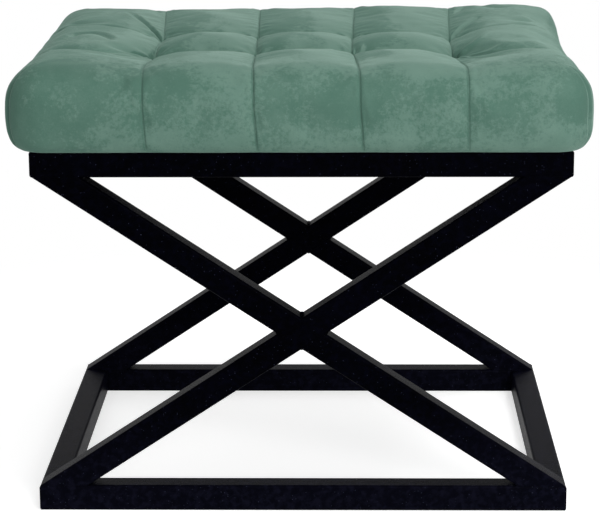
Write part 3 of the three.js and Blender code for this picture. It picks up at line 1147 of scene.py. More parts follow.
    def edge(self) -> tuple[list[tuple[int, int]], np.ndarray, np.ndarray]:
        """The top's edge line, point by point, with a fan of points at each corner.

        Returns:
            Each point's row and column in the top's grid, its outward direction, and its
            angle round a corner from the side face, or -1 elsewhere.
        """
        last_x, last_y = len(self.across) - 1, len(self.deep) - 1
        sides = (
            ((0, 0), [(i, 0) for i in range(1, last_x)], (0.0, -1.0)),
            ((last_x, 0), [(last_x, j) for j in range(1, last_y)], (1.0, 0.0)),
            ((last_x, last_y), [(i, last_y) for i in range(last_x - 1, 0, -1)], (0.0, 1.0)),
            ((0, last_y), [(0, j) for j in range(last_y - 1, 0, -1)], (-1.0, 0.0)),
        )
        cells, normals, fans = [], [], []
        for quarter, (corner, side, outward) in enumerate(sides):
            for angle in np.linspace(quarter + 2, quarter + 3, self.corner_steps + 1) * math.pi / 2:
                direction = (math.cos(angle), math.sin(angle))
                cells.append(corner)
                normals.append(direction)
                fans.append(math.atan2(abs(direction[1]), abs(direction[0])))
            cells += side
            normals += [outward] * len(side)
            fans += [-1.0] * len(side)
        return cells, np.array(normals), np.array(fans)

    def profile(self) -> list[Ring]:
        """The section of the side, ring by ring, from below the edge line to the hem's inner edge.

        Returns:
            The rings.
        """
        high, low = self.top - self.top_radius, self.base + self.hem_radius
        under = self.top_radius - self.hem_radius
        rings = []
        for angle in np.linspace(0, math.pi / 2, self.top_steps + 1)[1:]:
            sine, cosine = math.sin(angle), math.cos(angle)
            height = high + self.top_radius * cosine
            rings.append(Ring(self.top_radius * sine, height, cosine, sine, SHOULDER * sine, angle))
        for share in np.linspace(0, 1, self.wall_steps + 1)[1:-1]:
            down = SHOULDER + (HEM - SHOULDER) * share
            rings.append(Ring(self.top_radius, high + (low - high) * share, 0.0, 1.0, down))
        for angle in np.linspace(0, math.pi / 2, self.hem_steps + 1):
            sine, cosine = math.sin(angle), math.cos(angle)
            bulge = self.hem_sag * sine * min(1.0, 2.2 * cosine)
            drawn = self.hem_draw + (1 - self.hem_draw) * cosine
            reach, height = under + self.hem_radius * cosine, low - self.hem_radius * sine - bulge
            rings.append(Ring(reach, height, 0.0, drawn, HEM + (1 - HEM) * sine))
        for share in np.linspace(0, 1, self.under_steps + 1)[1:]:
            reach = under - self.hem_reach * share
            rings.append(Ring(reach, self.base, 0.0, self.hem_draw * (1 - share), 1.0))
        return rings

    def skin(self) -> Skin:
        """Samples the form's surface.

        Returns:
            The surface, open inside the hem.
        """
        grid_x, grid_y = np.meshgrid(self.across, self.deep, indexing="ij")
        x, y = grid_x.ravel(), grid_y.ravel()
        zero = np.zeros_like(x)
        height = self.top + self.lift(x, y) - self.quilting.drop(x, y, self.top_half[0])
        points = [np.column_stack([x + self.sway(x, y, zero), y + self.bend(x, y), height])]
        plan, down, fan = [np.column_stack([x, y])], [zero], [zero - 1]
        faces = grid_faces(len(self.across), len(self.deep))

        cells, normals, fans = self.edge()
        rim = [i * len(self.deep) + j for i, j in cells]
        places = plan[0][rim]
        x, y = places[:, 0].copy(), places[:, 1].copy()
        drops = self.quilting.drop(x, y, self.top_half[0]) - self.lift(x, y)
        drawn, filled, bent = self.draw(x, y, normals), self.fill(x, y), self.bend(x, y)
        first = len(zero)
        for ring in self.profile():
            low = np.full_like(x, ring.down)
            inward = max(0.0, self.hem_corner - ring.reach)
            stuffed = filled * math.sin(2 * ring.slope) ** 2
            reach = max(ring.reach, self.hem_corner) - ring.drawn * drawn
            reach = reach + self.fullness_out * math.sin(ring.slope) * stuffed
            height = ring.height + self.fullness_up * math.cos(ring.slope) * stuffed - ring.dip * drops
            centre_x = (x + self.sway(x, y, low)) * (1 - inward / self.top_half[0])
            centre_y = (y + ring.dip * bent) * (1 - inward / self.top_half[1])
            out = reach[:, None] * normals
            points.append(np.column_stack([centre_x + out[:, 0], centre_y + out[:, 1], height]))
            plan.append(places)
            down.append(low)
            fan.append(fans)
            lower = list(range(first, first + len(rim)))
            faces += band(rim, lower)
            rim, first = lower, first + len(lower)
        return Skin(
            np.vstack(points), faces, rim, np.vstack(plan), np.concatenate(down), np.concatenate(fan))


@dataclass(frozen=True)
class ClothRun:
    """How the filling presses the cover out, in a simulation that holds its seams, tufts and hem."""

    frames: int = 20
    pressure: float = 3.0
    ease: float = 0.008
    limit: float = 0.0045
    quality: int = 6
    mass: float = 0.35
    stretch: float = 12
    shear: float = 5
    bending: float = 0.6
    pins: float = 2.0
    held_width: float = 0.0045
    held_turn: float = 0.12
    held_hem: tuple[float, float] = (0.82, 0.97)
    row_end: float = 0.15
    row_fade: float = 0.02

    def press(self, piece: bpy.types.Object, held: str) -> None:
        """Adds the simulation to a piece and runs it.

        Args:
            piece: The piece.
            held: The vertex group that holds it.
        """
        cloth = piece.modifiers.new("cloth", "CLOTH")
        settings = cloth.settings
        settings.quality = self.quality
        settings.mass = self.mass
        settings.tension_stiffness = settings.compression_stiffness = self.stretch
        settings.shear_stiffness = self.shear
        settings.bending_stiffness = self.bending
        settings.use_pressure = True
        settings.uniform_pressure_force = self.pressure
        settings.vertex_group_mass = held
        settings.pin_stiffness = self.pins
        settings.shrink_min = -self.ease
        settings.effector_weights.gravity = 0
        cloth.point_cache.frame_start, cloth.point_cache.frame_end = 1, self.frames
        for number in range(1, self.frames + 1):
            bpy.context.scene.frame_set(number)


@dataclass
class Cushion:
    """The tufted cushion: velvet over foam, pulled over a board and tufted through it.

    A pinch is a tuft's depth and reach. Each lump is a cloud's height, its clouds in a metre
    and its seed. The slack band is where the column seams grow faint towards the back.
    """

    form: CushionForm = CushionForm()
    cloth_run: ClothRun = ClothRun()
    cover_thickness: float = 0.0024
    foam_inset: float = 0.0045
    board_half: tuple[float, float] = (0.2474, 0.2074)
    board_top: float = 0.3630
    column_crease: Crease = Crease(0.0021, 0.00055, 0.22, 0.007, 0.005)
    row_crease: Crease = Crease(0.001575, 0.000825)
    corner_crease: Crease = Crease(0.0019, 0.0016, 0.3, 0.0045, 0.003)
    row_fade: float = 0.03
    slack: tuple[float, float] = (0.15, 0.20)
    slack_share: float = 0.7
    pinch: tuple[float, float] = (0.0016, 0.0065)
    gathers: int = 9
    gather_depth: float = 0.0007
    gather_at: float = 0.014
    gather_reach: float = 0.011
    pucker_depth: float = 0.00022
    pucker_rate: float = 520
    pucker_at: float = 0.006
    lumps: tuple[tuple[float, float, float], ...] = (
        (0.0011, 17, 1.7), (0.0006, 38, 5.3), (0.00022, 95, 8.9))
    hem_fade: tuple[float, float] = (0.86, 0.96)
    corner_rise: tuple[float, float] = (0.12, 0.32)
    folds: tuple[Fold, ...] = (
        Fold(((-0.146, 0.055), (-0.162, 0.088), (-0.175, 0.117), (-0.184, 0.140), (-0.188, 0.155)),
             0.0058, 0.0026),
        Fold(((-0.186, -0.055), (-0.196, -0.032), (-0.210, -0.014), (-0.226, -0.020), (-0.235, -0.056)),
             0.0055, 0.0045),
        Fold(((-0.149, -0.074), (-0.178, -0.094), (-0.208, -0.100), (-0.240, -0.098)), 0.0036, 0.0075),
        Fold(((0.147, 0.056), (0.160, 0.082), (0.170, 0.096), (0.182, 0.116)), 0.0055, 0.0028),
        Fold(((0.148, -0.050), (0.156, -0.052), (0.165, -0.048), (0.174, -0.036), (0.185, -0.016)),
             -0.0024, 0.0040),
        Fold(((0.149, -0.072), (0.180, -0.092), (0.214, -0.098), (0.240, -0.096)), 0.0036, 0.0075),
        Fold(((0.182, 0.205), (0.196, 0.180), (0.212, 0.168)), 0.0032, 0.0060),
        Fold(((0.246, 0.100), (0.226, 0.086), (0.200, 0.090)), 0.0026, 0.0080),
        Fold(((0.250, -0.060), (0.232, -0.100), (0.206, -0.128)), 0.0024, 0.0100),
        Fold(((-0.246, 0.070), (-0.222, 0.066), (-0.196, 0.076)), 0.0024, 0.0090),
    )

    def build(self) -> None:
        """Builds the cover, swollen by its filling, and then the foam inside it."""
        skin = self.form.skin()
        swollen = self.swell(skin)
        marks = np.column_stack([skin.plan, skin.down])
        sink = self.detail(skin.points, marks, skin.fan)
        shaped = swollen - self.normals(swollen, skin.faces) * sink[:, None]
        inward = self.normals(shaped, skin.faces)
        self.build_cover(skin, swollen, marks, shaped - inward * self.cover_thickness)
        self.build_foam(skin, shaped - inward * self.foam_inset)

    def build_cover(self, skin: Skin, swollen: np.ndarray, marks: np.ndarray,
                    inner: np.ndarray) -> None:
        """Builds the velvet cover: creased, folded, hemmed and closed by its own back.

        Args:
            skin: The cover's surface before it swells.
            swollen: Its vertices afterwards.
            marks: Each vertex's place between straight seams, and how far down it is.
            inner: The vertices of the cover's back.
        """
        fans = np.repeat(skin.fan[:, None], 3, axis=1)
        rest, fine, fine_marks, fine_fans = (
            self.refine(values, skin.faces) for values in (skin.points, swollen, marks, fans))
        faces = fine[1]
        sink = self.detail(rest[0], fine_marks[0], fine_fans[0][:, 0])
        outer = fine[0] - self.normals(fine[0], faces) * sink[:, None]
        joined, closed = self.line(outer, faces, inner, skin)
        cover = add_piece("velvet_cushion_cover", joined, closed, Velvet(), ["velvet_cover"])

    def build_foam(self, skin: Skin, outside: np.ndarray) -> None:
        """Builds the foam that fills the cover and wraps the board's edge.

        Args:
            skin: The cover's surface.
            outside: The vertices of the foam's outside.
        """
        points, faces = [outside], list(skin.faces)
        rim, first = skin.rim, len(outside)
        corner = outside[rim][:, :2]
        outline = corner * np.array(self.board_half) / np.abs(corner).max(axis=0)
        for height in (self.form.base + self.foam_inset, self.board_top):
            points.append(np.column_stack([outline, np.full(len(rim), height)]))
            fresh = list(range(first, first + len(rim)))
            faces += band(rim, fresh)
            rim, first = fresh, first + len(rim)
        faces.append(tuple(rim[::-1]))
        foam = add_piece("cushion_foam", np.vstack(points), faces, Foam(), ["foam_block"])

    @staticmethod
    def remove(piece: bpy.types.Object) -> None:
        """Takes a working object and its mesh out again.

        Args:
            piece: The object.
        """
        mesh = piece.data
        bpy.data.objects.remove(piece)
        bpy.data.meshes.remove(mesh)

    def refine(self, points: np.ndarray, faces: Sequence[Face]) -> tuple[np.ndarray, list[Face]]:
        """Subdivides a surface once.

        Args:
            points: Its vertices, or three marks a vertex that are spread the same way.
            faces: Its faces.

        Returns:
            The finer surface's vertices and faces.
        """
        piece = add_object("working_form", points, faces)
        piece.modifiers.new("finer", "SUBSURF").levels = 1
        finer = fitted(piece)
        self.remove(piece)
        return finer

    @staticmethod
    def normals(points: np.ndarray, faces: Sequence[Face]) -> np.ndarray:
        """The outward direction at each vertex, weighted by the faces' areas.

        Args:
            points: A surface's vertices.
            faces: Its faces.

        Returns:
            One direction a vertex.
        """
        padded = np.array([face if len(face) == 4 else (*face, face[2]) for face in faces])
        a, b, c, d = (points[padded[:, k]] for k in range(4))
        flat = np.cross(c - a, d - b)
        result = np.zeros_like(points)
        for k in range(4):
            np.add.at(result, padded[:, k], flat)
        return result / np.maximum(np.linalg.norm(result, axis=1, keepdims=True), 1e-12)

    def hold(self, skin: Skin) -> np.ndarray:
        """How firmly each point is held while the cover swells.

        Args:
            skin: The cover before it swells.

        Returns:
            A weight from 0 to 1 for each vertex.
        """
        quilting, run = self.form.quilting, self.cloth_run
        x, y = skin.plan.T
        column = mound(quilting.nearest(quilting.columns, x), run.held_width)
        inside = 1 - ramp(np.abs(x), quilting.columns[-1], quilting.columns[-1] + run.row_fade)
        past_shoulder = ramp(skin.down, 0, SHOULDER)
        row = mound(quilting.nearest(quilting.rows, y), run.held_width)
        row = row * (run.row_end + (1 - run.row_end) * inside) * (1 - past_shoulder)
        seam = mound(skin.fan - self.form.corner_seam, run.held_turn) * (skin.fan >= 0) * past_shoulder
        hem = ramp(skin.down, *run.held_hem)
        return np.clip(np.max([column, row, seam, hem], axis=0), 0, 1)

    def swell(self, skin: Skin) -> np.ndarray:
        """Runs a cloth simulation that presses the cover out from inside.

        Args:
            skin: The cover before it swells.

        Returns:
            Its vertices afterwards, none moved further than the limit.
        """
        piece = add_object("working_form", skin.points, skin.faces)
        group = piece.vertex_groups.new(name="held")
        for index, weight in enumerate(self.hold(skin)):
            group.add([index], float(weight), "REPLACE")
        self.cloth_run.press(piece, group.name)
        moved = fitted(piece)[0] - skin.points
        bpy.context.scene.frame_set(1)
        self.remove(piece)
        length = np.linalg.norm(moved, axis=1, keepdims=True)
        most, mean = length.max() / MM, length.mean() / MM
        log.info("cover swells by up to %.1f mm, %.1f mm on average", most, mean)
        limited = self.cloth_run.limit * np.tanh(length / self.cloth_run.limit)
        return skin.points + moved * limited / np.maximum(length, 1e-9)

    def detail(self, rest: np.ndarray, marks: np.ndarray, fan: np.ndarray) -> np.ndarray:
        """How far the finished cover is sunk below its swollen surface.

        Args:
            rest: The cover's vertices before it swelled.
            marks: Each vertex's place between straight seams, and how far down it is.
            fan: Each vertex's angle round a corner, or less than 0 elsewhere.

        Returns:
            A depth in metres for each vertex, less than 0 where it stands proud.
        """
        quilting = self.form.quilting
        x, y, down = marks.T
        on_top = 1 - ramp(down, 0, SHOULDER)
        above_hem = 1 - ramp(down, *self.hem_fade)
        on_face = above_hem * (np.abs(x) < self.form.top_half[0] - MM)
        to_column = quilting.nearest(quilting.columns, x)
        to_row = quilting.nearest(quilting.rows, y)
        inside = 1 - ramp(np.abs(x), quilting.columns[-1], quilting.columns[-1] + self.row_fade)

        light = 1 - self.slack_share * ramp(rest[:, 1], *self.slack)
        sink = self.column_crease.sink(to_column) * light * on_face
        sink += self.row_crease.sink(to_row) * inside * on_top
        sink += self.tufts(rest, x, y, np.hypot(to_column, to_row)) * on_top

        wavy = np.cos(rest[:, 1] * self.pucker_rate + 4 * cloud(rest, 14, 3.1))
        sink += self.pucker_depth * wavy * mound(to_column - self.pucker_at, self.pucker_at) * on_face
        for fold in self.folds:
            sink += fold.sink(rest[:, 0], rest[:, 1]) * on_top

        to_corner_seam = np.abs(fan - self.form.corner_seam) * self.form.top_radius
        on_wall = (fan >= 0) * ramp(down, *self.corner_rise) * above_hem
        sink += self.corner_crease.sink(to_corner_seam) * on_wall
        lumps = sum(height * cloud(rest, scale, seed) for height, scale, seed in self.lumps)
        return sink + lumps * above_hem

    def tufts(self, rest: np.ndarray, x: np.ndarray, y: np.ndarray, away: np.ndarray) -> np.ndarray:
        """How deep the tufts pinch the cover, and the gathers that run out from them.

        Args:
            rest: The cover's vertices before it swelled.
            x: Their places along the front, between straight seams.
            y: Their places from the front to the back.
            away: Their distances from the nearest tuft.

        Returns:
            A depth in metres for each vertex.
        """
        depth, reach = self.pinch
        columns = np.array(self.form.quilting.columns)
        nearest = columns[np.abs(x[:, None] - columns).argmin(axis=1)]
        angle = np.arctan2(rest[:, 1], rest[:, 0] + 0.31 * rest[:, 1])
        around = np.arctan2(y - np.sign(y) * self.form.quilting.rows[-1], x - nearest)
        gathers = np.cos(self.gathers * around + 3 * np.sin(angle * 5))
        return depth * mound(away, reach) + self.gather_depth * gathers * mound(
            away - self.gather_at, self.gather_reach)

    def line(self, outer: np.ndarray, outer_faces: list[Face], inner: np.ndarray,
             skin: Skin) -> tuple[np.ndarray, list[Face]]:
        """Joins the cover's face and its back at the hem, which closes the skin.

        Args:
            outer: The face's vertices, twice as fine as the back's.
            outer_faces: Its faces.
            inner: The back's vertices.
            skin: The unrefined surface, with the hem's loop.

        Returns:
            The closed skin's vertices and faces.
        """
        loop = open_loop(outer_faces)
        nearest = int(np.linalg.norm(outer[loop] - inner[skin.rim[0]], axis=1).argmin())
        loop = loop[nearest:] + loop[:nearest]
        ahead = np.linalg.norm(outer[loop[2]] - inner[skin.rim[1]])
        if ahead > np.linalg.norm(outer[loop[-2]] - inner[skin.rim[1]]):
            loop = [loop[0], *loop[:0:-1]]
        start = len(outer)
        rim = [start + index for index in skin.rim]
        faces = list(outer_faces)
        faces += [tuple(start + index for index in face[::-1]) for face in skin.faces]
        for k, (here, there) in enumerate(pairwise([*rim, rim[0]])):
            a, b, c = loop[2 * k], loop[2 * k + 1], loop[(2 * k + 2) % len(loop)]
            faces += [(here, b, a), (here, there, c, b)]
        return np.vstack([outer, inner]), faces


# Frame


@dataclass
class Beads:
    """Weld beads, or bent wires, swept along paths and gathered in one mesh."""

    pitch: float
    ripple: float = 0.10
    sides: int = 8
    end_size: float = 0.02
    end_power: int = 18
    rings: list[np.ndarray] = field(default_factory=list)
    faces: list[Face] = field(default_factory=list)

    def points(self) -> np.ndarray:
        """All the beads' vertices."""
        return np.vstack(self.rings)

    def lay(self, path: Sequence[Sequence[float]], radius: float, closed: bool = False) -> None:
        """Sweeps a rippled bead along a path, three rings to a ripple.

        Args:
            path: The path's corners in metres.
            radius: The bead's radius.
            closed: Whether the path is a loop.
        """
        corners = [Vector(point) for point in path]
        if closed:
            corners.append(corners[0])
        spots = []
        for a, b in pairwise(corners):
            steps = max(1, round((b - a).length / (self.pitch / 3)))
            spots += [(a.lerp(b, k / steps), (b - a).normalized()) for k in range(steps)]
        if not closed:
            spots.append((corners[-1], (corners[-1] - corners[-2]).normalized()))
        around = np.linspace(0, 2 * math.pi, self.sides, endpoint=False)
        (last, tangent), walked, loops = spots[0], 0.0, []
        normal = tangent.orthogonal().normalized()
        for index, (spot, tangent) in enumerate(spots):
            walked += (spot - last).length
            last = spot
            normal = (normal - tangent * normal.dot(tangent)).normalized()
            side = tangent.cross(normal)
            outward = 0.0 if closed else abs(2 * index / (len(spots) - 1) - 1)
            blunt = math.sqrt(max(self.end_size, 1 - outward ** self.end_power))
            size = radius * blunt * (1 + self.ripple * math.sin(2 * math.pi * walked / self.pitch))
            first = len(self.rings) * self.sides
            loops.append(list(range(first, first + self.sides)))
            self.rings.append(np.array([
                spot + (normal * math.cos(a) + side * math.sin(a)) * size for a in around]))
        for here, there in pairwise([*loops, loops[0]] if closed else loops):
            self.faces += band(there, here)
        if not closed:
            self.faces += [tuple(loops[0][::-1]), tuple(loops[-1])]


@dataclass
class SteelFrame:
    """The welded frame: two rectangles of mitred rails with crossed bars front and back."""

    half_width: float = 0.250
    half_depth: float = 0.210
    height: float = 0.348
    tube: float = 0.025
    corner_radius: float = 0.0025
    slope: float = math.radians(33.399)
    bead: float = 0.0014
    bead_short: float = 0.001
    bead_proud: float = 0.0004
    bead_drawn: float = 0.97
    fillet: float = 0.0021
    fillet_sunk: float = 0.2
    flush_bead: float = 0.0006
    flush_sunk: float = 0.55
    flush_inset: float = 1.1
    ripple_pitch: float = 0.0021
    tubes: tuple[str, ...] = (
        *(f"{side}_{level}_rail" for level in ("bottom", "top")
          for side in ("front", "back", "left", "right")),
        *(f"{side}_diagonal{part}" for side in ("front", "back")
          for part in ("", "_upper_half", "_lower_half")),
    )

    def build(self) -> None:
        """Dresses the tubes and lays the welds."""
        for name in self.tubes:
            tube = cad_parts[name]
            dress(tube, PowderCoat())
            soften(tube)
        for end in End:
            self.weld_cross(end)
        for level, height in (("bottom", self.tube / 2), ("top", self.height - self.tube / 2)):
            self.weld_mitres(level, height)

    def weld_cross(self, end: End) -> None:
        """Lays the welds of one pair of crossed bars, at their ends and where they meet.

        Args:
            end: The end of the stool that they stand at.
        """
        half, middle = self.tube / 2, self.height / 2
        y, half_cut = end.value * (self.half_depth - half), half / math.sin(self.slope)
        inner = half - self.corner_radius - self.fillet
        faces = [y + face * (half - self.bead) for face in (-1, 1)]
        beads = Beads(self.ripple_pitch)
        for level, height in ((-1, self.tube), (1, self.height - self.tube)):
            centre = (height - middle) / math.tan(self.slope)
            bead_z = height + level * self.bead_proud
            z = height - level * self.fillet_sunk * self.fillet
            for lean in (-1, 1):
                x = lean * math.copysign(abs(centre) - half_cut, centre)
                beads.lay([(x, y - inner, z), (x, y + inner, z)], self.fillet)
                for depth in faces:
                    reach = half_cut - self.bead_short
                    beads.lay([(lean * centre + s * reach, depth, bead_z) for s in (-1, 1)], self.bead)
        rise = half / math.cos(self.slope)
        top, right, bottom, left = (0.0, rise), (half_cut, 0.0), (0.0, -rise), (-half_cut, 0.0)
        for x, z in (top, right, bottom, left):
            beads.lay([(x, y - inner, middle + z), (x, y + inner, middle + z)], self.fillet)
        for depth in faces:
            for edge in ((top, left), (right, bottom)):
                ends = [(x * self.bead_drawn, depth, middle + z * self.bead_drawn) for x, z in edge]
                beads.lay(ends, self.bead)
        add_piece(f"{end.name.lower()}_cross_welds", beads.points(), beads.faces, PowderCoat())

    def weld_mitres(self, level: str, height: float) -> None:
        """Lays the ground-down welds round the four mitres of one rectangle of rails.

        Args:
            level: Which rectangle it is, bottom or top.
            height: How high the middle of its rails is.
        """
        flat = self.tube / 2 - self.corner_radius
        radius = self.corner_radius - self.flush_sunk * self.flush_bead
        flush = self.tube / 2 - self.flush_inset * self.flush_bead
        outline = []
        for turn, (out, up) in enumerate(((1, 1), (-1, 1), (-1, -1), (1, -1))):
            for angle in (math.pi / 2 * (turn + step / 3) for step in range(4)):
                rise = flat * up + radius * math.sin(angle)
                outline.append((flat * out + radius * math.cos(angle), min(max(rise, -flush), flush)))
        wide, long = self.half_width - self.tube / 2, self.half_depth - self.tube / 2
        beads = Beads(self.ripple_pitch)
        for sx, sy in ((-1, -1), (1, -1), (1, 1), (-1, 1)):
            loop = [(sx * (wide + a), sy * (long + a), height + b) for a, b in outline]
            beads.lay(loop, self.flush_bead, closed=True)
        add_piece(f"{level}_mitre_welds", beads.points(), beads.faces, PowderCoat())


@cache
def rounded_corner_nodes() -> bpy.types.NodeTree:
    """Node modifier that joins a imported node's faces and smooths them except at hard edges.

    Returns:
        The modifier's node tree.
    """
    tree = bpy.data.node_groups.new("rounded_corners", "GeometryNodeTree")
    for direction in ("INPUT", "OUTPUT"):
        tree.interface.new_socket(name="Geometry", in_out=direction, socket_type="NodeSocketGeometry")
    sheet = NodeSheet(tree)
    same_spot, hard_edge = 0.00002, math.radians(50)
    whole = {"Geometry": sheet.put("NodeGroupInput"), "Distance": same_spot}
    joined = sheet.put("GeometryNodeMergeByDistance", whole)
    angle = sheet.put("GeometryNodeInputMeshEdgeAngle")
    sharp = sheet.put(
        "FunctionNodeCompare", {0: angle, 1: hard_edge}, data_type="FLOAT", operation="GREATER_THAN")
    shaded = {"Mesh": joined, "Edge Sharpness": sharp}
    sheet.end("NodeGroupOutput", sheet.put("GeometryNodeSetMeshNormal", shaded, mode="SHARPNESS"))
    return tree


def soften(node: bpy.types.Object) -> None:
    """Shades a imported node's rounded corners smoothly and leaves its flats flat.

    Args:
        node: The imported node.
    """
    node.modifiers.new("rounded_corners", "NODES").node_group = rounded_corner_nodes()
    weighted = node.modifiers.new("flat_faces", "WEIGHTED_NORMAL")
    weighted.keep_sharp = True
    weighted.weight = 100


# Underside


@dataclass
class Underside:
    """What is under the seat: the board, black cloth, staples, tuft ties and seat screws."""

    cloth_half: tuple[float, float] = (0.224, 0.184)
    cloth_height: float = 0.3473
    cloth_step: float = 0.006
    fold_back: float = 0.012
    fold_rise: float = 0.0005
    sag: float = 0.0007
    sag_reach: float = 0.12
    crease_reach: float = 0.02
    pull: float = 0.00035
    pull_reach: float = 0.011
    staple_inset: float = 0.007
    staple_pitch: float = 0.038
    staple_crown: float = 0.010
    staple_leg: float = 0.006
    staple_skew: float = 0.12
    wire: float = 0.00035
    fittings: tuple[tuple[str, int, Finish], ...] = (
        ("tuft_tie", 8, Twine()), ("tie_washer", 8, ZincSteel()),
        ("seat_screw", 4, ZincSteel()), ("screw_washer", 4, ZincSteel()),
    )

    def build(self) -> None:
        """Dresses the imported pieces, and makes the cloth and its staples."""
        dress(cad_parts["seat_board"], Plywood())
        for kind, count, finish in self.fittings:
            for number in range(1, count + 1):
                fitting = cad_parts[f"{kind}_{number}"]
                dress(fitting, finish)
                soften(fitting)
        self.build_staples()
        self.build_cloth()

    @cached_property
    def staples(self) -> list[Spot]:
        """Places the staples round the cloth's edge, each a little askew.

        Returns:
            Each staple's place and the direction of its crown.
        """
        wide, long = (half - self.staple_inset for half in self.cloth_half)
        places = []
        for half, other, turn in ((wide, long, 0.0), (long, wide, math.pi / 2)):
            count = int(2 * half / self.staple_pitch)
            for k in range(count):
                along = (k + 0.5 - count / 2) * 2 * half / count
                for sign in (-1, 1):
                    skew = self.staple_skew * math.sin(12.9 * k + 4.1 * sign + turn)
                    spot = (along, sign * other) if turn == 0 else (sign * other, along)
                    places.append((*spot, turn + skew))
        return places

    def build_staples(self) -> None:
        """Makes the staples that hold the cloth to the board."""
        wires = Beads(self.staple_crown / 4, ripple=0.0)
        crown = self.cloth_height - self.wire
        top = crown + self.staple_leg
        for x, y, turn in self.staples:
            dx, dy = (0.5 * self.staple_crown * v for v in (math.cos(turn), math.sin(turn)))
            near, far = (x - dx, y - dy), (x + dx, y + dy)
            wires.lay([(*near, top), (*near, crown), (*far, crown), (*far, top)], self.wire)
        add_piece("dust_cover_staples", wires.points(), wires.faces, ZincSteel())

    def build_cloth(self) -> None:
        """Makes the black cloth: stretched flat, folded in at its edges and pulled at the staples."""
        lines = [
            np.linspace(-half, half, round(2 * half / self.cloth_step) + 1) for half in self.cloth_half]
        x, y = (grid.ravel() for grid in np.meshgrid(*lines, indexing="ij"))
        wide, long = self.cloth_half
        from_edge = np.minimum(wide - np.abs(x), long - np.abs(y))
        flat = np.column_stack([x, y, np.zeros_like(x)])
        drum = self.sag * np.sin(ramp(from_edge, 0, self.sag_reach) * math.pi / 2)
        creases = 0.00018 * cloud(flat * (1, 1.6, 1), 60, 2.2) + 0.0002 * cloud(flat, 14, 7.5)
        creases = creases * ramp(from_edge, 0, self.crease_reach)
        pulls = [mound(np.hypot(x - px, y - py), self.pull_reach) for px, py, _ in self.staples]
        z = self.cloth_height - drum + creases + self.pull * np.max(pulls, axis=0)
        points = [np.column_stack([x, y, z])]
        faces = [(first, *others[::-1]) for first, *others in grid_faces(*map(len, lines))]
        rim, count = open_loop(faces), len(x)
        edge = points[0][rim]
        for inset, share in ((0.0001, 0.5), (0.0008, 1.0), (self.fold_back, 1.0)):
            limit, height = np.array(self.cloth_half) - inset, edge[:, 2] + share * self.fold_rise
            points.append(np.column_stack([np.clip(edge[:, :2], -limit, limit), height]))
            fresh = list(range(count, count + len(rim)))
            faces += band(rim, fresh)
            rim, count = fresh, count + len(rim)
        cloth = add_piece("dust_cover_cloth", np.vstack(points), faces, BlackCloth(), ["dust_cover"])


# Studio


def seen_rays(sheet: NodeSheet) -> Output:
    """Tells the rays that show the studio from those that only light it.

    Args:
        sheet: A material's or the sky's sheet.

    Returns:
        1 for a ray that shows it straight, mirrored or through glass, and 0 otherwise.
    """
    rays, kinds = sheet.add("ShaderNodeLightPath", {}).outputs, ("Camera", "Glossy", "Transmission")
    straight, mirrored, through = (Output(sheet, rays[f"Is {kind} Ray"]) for kind in kinds)
    return sheet.math("MAXIMUM", sheet.math("MAXIMUM", straight, mirrored), through)


@dataclass(frozen=True)
class Lamp:
    """A square area lamp: where it hangs, how high it aims, its side and its power in watts."""

    name: str
    place: Spot
    aim: float
    side: float
    power: float

    def hang(self) -> None:
        """Adds the lamp to the scene, turned to the middle of the stool at the height it aims at."""
        data = bpy.data.lights.new(self.name, "AREA")
        data.energy, data.size = self.power, self.side
        lamp = bpy.data.objects.new(self.name, data)
        lamp.location = self.place
        lamp.rotation_mode = "QUATERNION"
        ahead = Vector((0.0, 0.0, self.aim)) - Vector(self.place)
        lamp.rotation_quaternion = ahead.to_track_quat("-Z", "Y")
        bpy.context.scene.collection.objects.link(lamp)


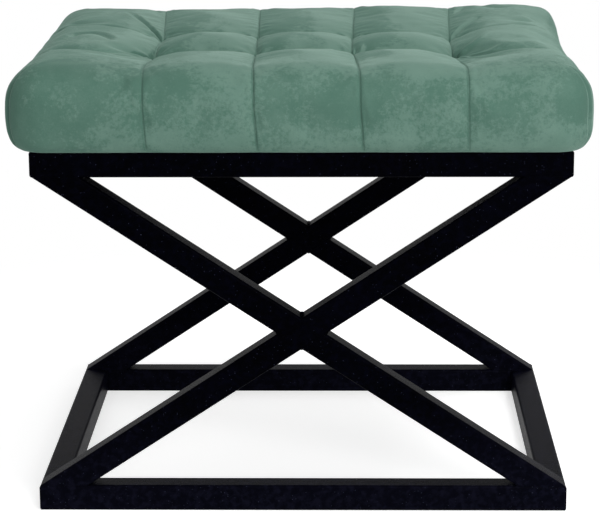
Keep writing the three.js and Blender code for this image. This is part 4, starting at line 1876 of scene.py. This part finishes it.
@dataclass
class Studio:
    """A plain pale floor, soft lamps and the camera."""

    eye: Spot = (0.042986, -2.292963, 0.742846)
    yaw: float = 0.0212075
    pitch: float = 0.2339969
    roll: float = -0.0052273
    lens: float = 138.684
    sensor: float = 36.0
    floor_half: float = 9.0
    floor_colour: Colour = (0.86, 0.86, 0.86)
    floor_lift: float = 0.64
    white_from: float = 0.40
    white_to: float = 0.90
    sky: float = 0.38
    lamps: tuple[Lamp, ...] = (
        Lamp("key_lamp", (0.80, -0.45, 2.16), 0.35, 0.8, 15.9),
        Lamp("fill_lamp", (0.9, -2.7, 1.0), 0.3, 1.1, 40.0),
        Lamp("back_lamp", (-0.5, 2.4, 1.9), 0.35, 1.2, 6.0),
    )

    def build(self) -> None:
        """Builds the floor, the sky, the lamps and the camera."""
        self.build_floor()
        self.build_sky()
        for lamp in self.lamps:
            lamp.hang()
        self.build_camera()
        bpy.context.scene.view_settings.view_transform = "Standard"

    def build_floor(self) -> None:
        """Builds the floor: near white with the stool's shadow, white far off, clear from below."""
        half = self.floor_half
        corners = np.array([(-half, -half, 0), (half, -half, 0), (half, half, 0), (-half, half, 0)])
        floor = add_object("studio_floor", corners, [(0, 1, 2, 3)])
        material, sheet = new_material("studio_floor_white")
        seen = seen_rays(sheet)
        diffuse = sheet.put("ShaderNodeBsdfDiffuse", {"Color": self.floor_colour})
        glow = sheet.put("ShaderNodeEmission", {"Strength": seen * self.floor_lift})
        lit = sheet.put("ShaderNodeAddShader", {0: diffuse, 1: glow})
        apart = sheet.put("ShaderNodeVectorMath", {0: sheet.place()}, "Value", operation="LENGTH")
        far = sheet.step(apart, self.white_from, self.white_to)
        white, clear = sheet.put("ShaderNodeEmission"), sheet.put("ShaderNodeBsdfTransparent")
        faded = sheet.put("ShaderNodeMixShader", {0: far * seen, 1: lit, 2: white})
        below = sheet.put("ShaderNodeNewGeometry", output="Backfacing")
        below = below * sheet.put("ShaderNodeLightPath", output="Is Camera Ray")
        shown = sheet.put("ShaderNodeMixShader", {0: below, 1: faded, 2: clear})
        sheet.end("ShaderNodeOutputMaterial", shown)
        floor.data.materials.append(material)

    def build_sky(self) -> None:
        """Sets the light from all round, which shows white."""
        world = bpy.data.worlds.new("studio_sky")
        world.use_nodes = True
        world.node_tree.nodes.clear()
        sheet = NodeSheet(world.node_tree)
        strength = sheet.between(seen_rays(sheet), self.sky, 1.0)
        back = sheet.put("ShaderNodeBackground", {"Color": (1.0, 1.0, 1.0), "Strength": strength})
        sheet.end("ShaderNodeOutputWorld", back)
        bpy.context.scene.world = world

    def build_camera(self) -> None:
        """Places the camera where the picture was taken from."""
        data = bpy.data.cameras.new("studio_camera")
        data.sensor_fit, data.sensor_width, data.lens = "HORIZONTAL", self.sensor, self.lens
        right = Vector((math.cos(self.yaw), math.sin(self.yaw), 0.0))
        level = Vector((-math.sin(self.yaw), math.cos(self.yaw), 0.0))
        ahead = level * math.cos(self.pitch) - Vector((0, 0, math.sin(self.pitch)))
        up = level * math.sin(self.pitch) + Vector((0, 0, math.cos(self.pitch)))
        turned = right * math.cos(self.roll) + up * math.sin(self.roll)
        upright = up * math.cos(self.roll) - right * math.sin(self.roll)
        axes = Matrix((turned, upright, -ahead)).transposed().to_4x4()
        camera = bpy.data.objects.new("studio_camera", data)
        camera.matrix_world = Matrix.Translation(self.eye) @ axes
        bpy.context.scene.collection.objects.link(camera)
        bpy.context.scene.camera = camera


def main() -> None:
    """Builds the studio and the stool."""
    logging.basicConfig(level=logging.INFO, format="%(name)s: %(message)s", force=True)
    for part in (Studio(), SteelFrame(), Underside(), Cushion()):
        log.info("building %s", type(part).__name__)
        part.build()


if __name__ == "__main__":
    main()
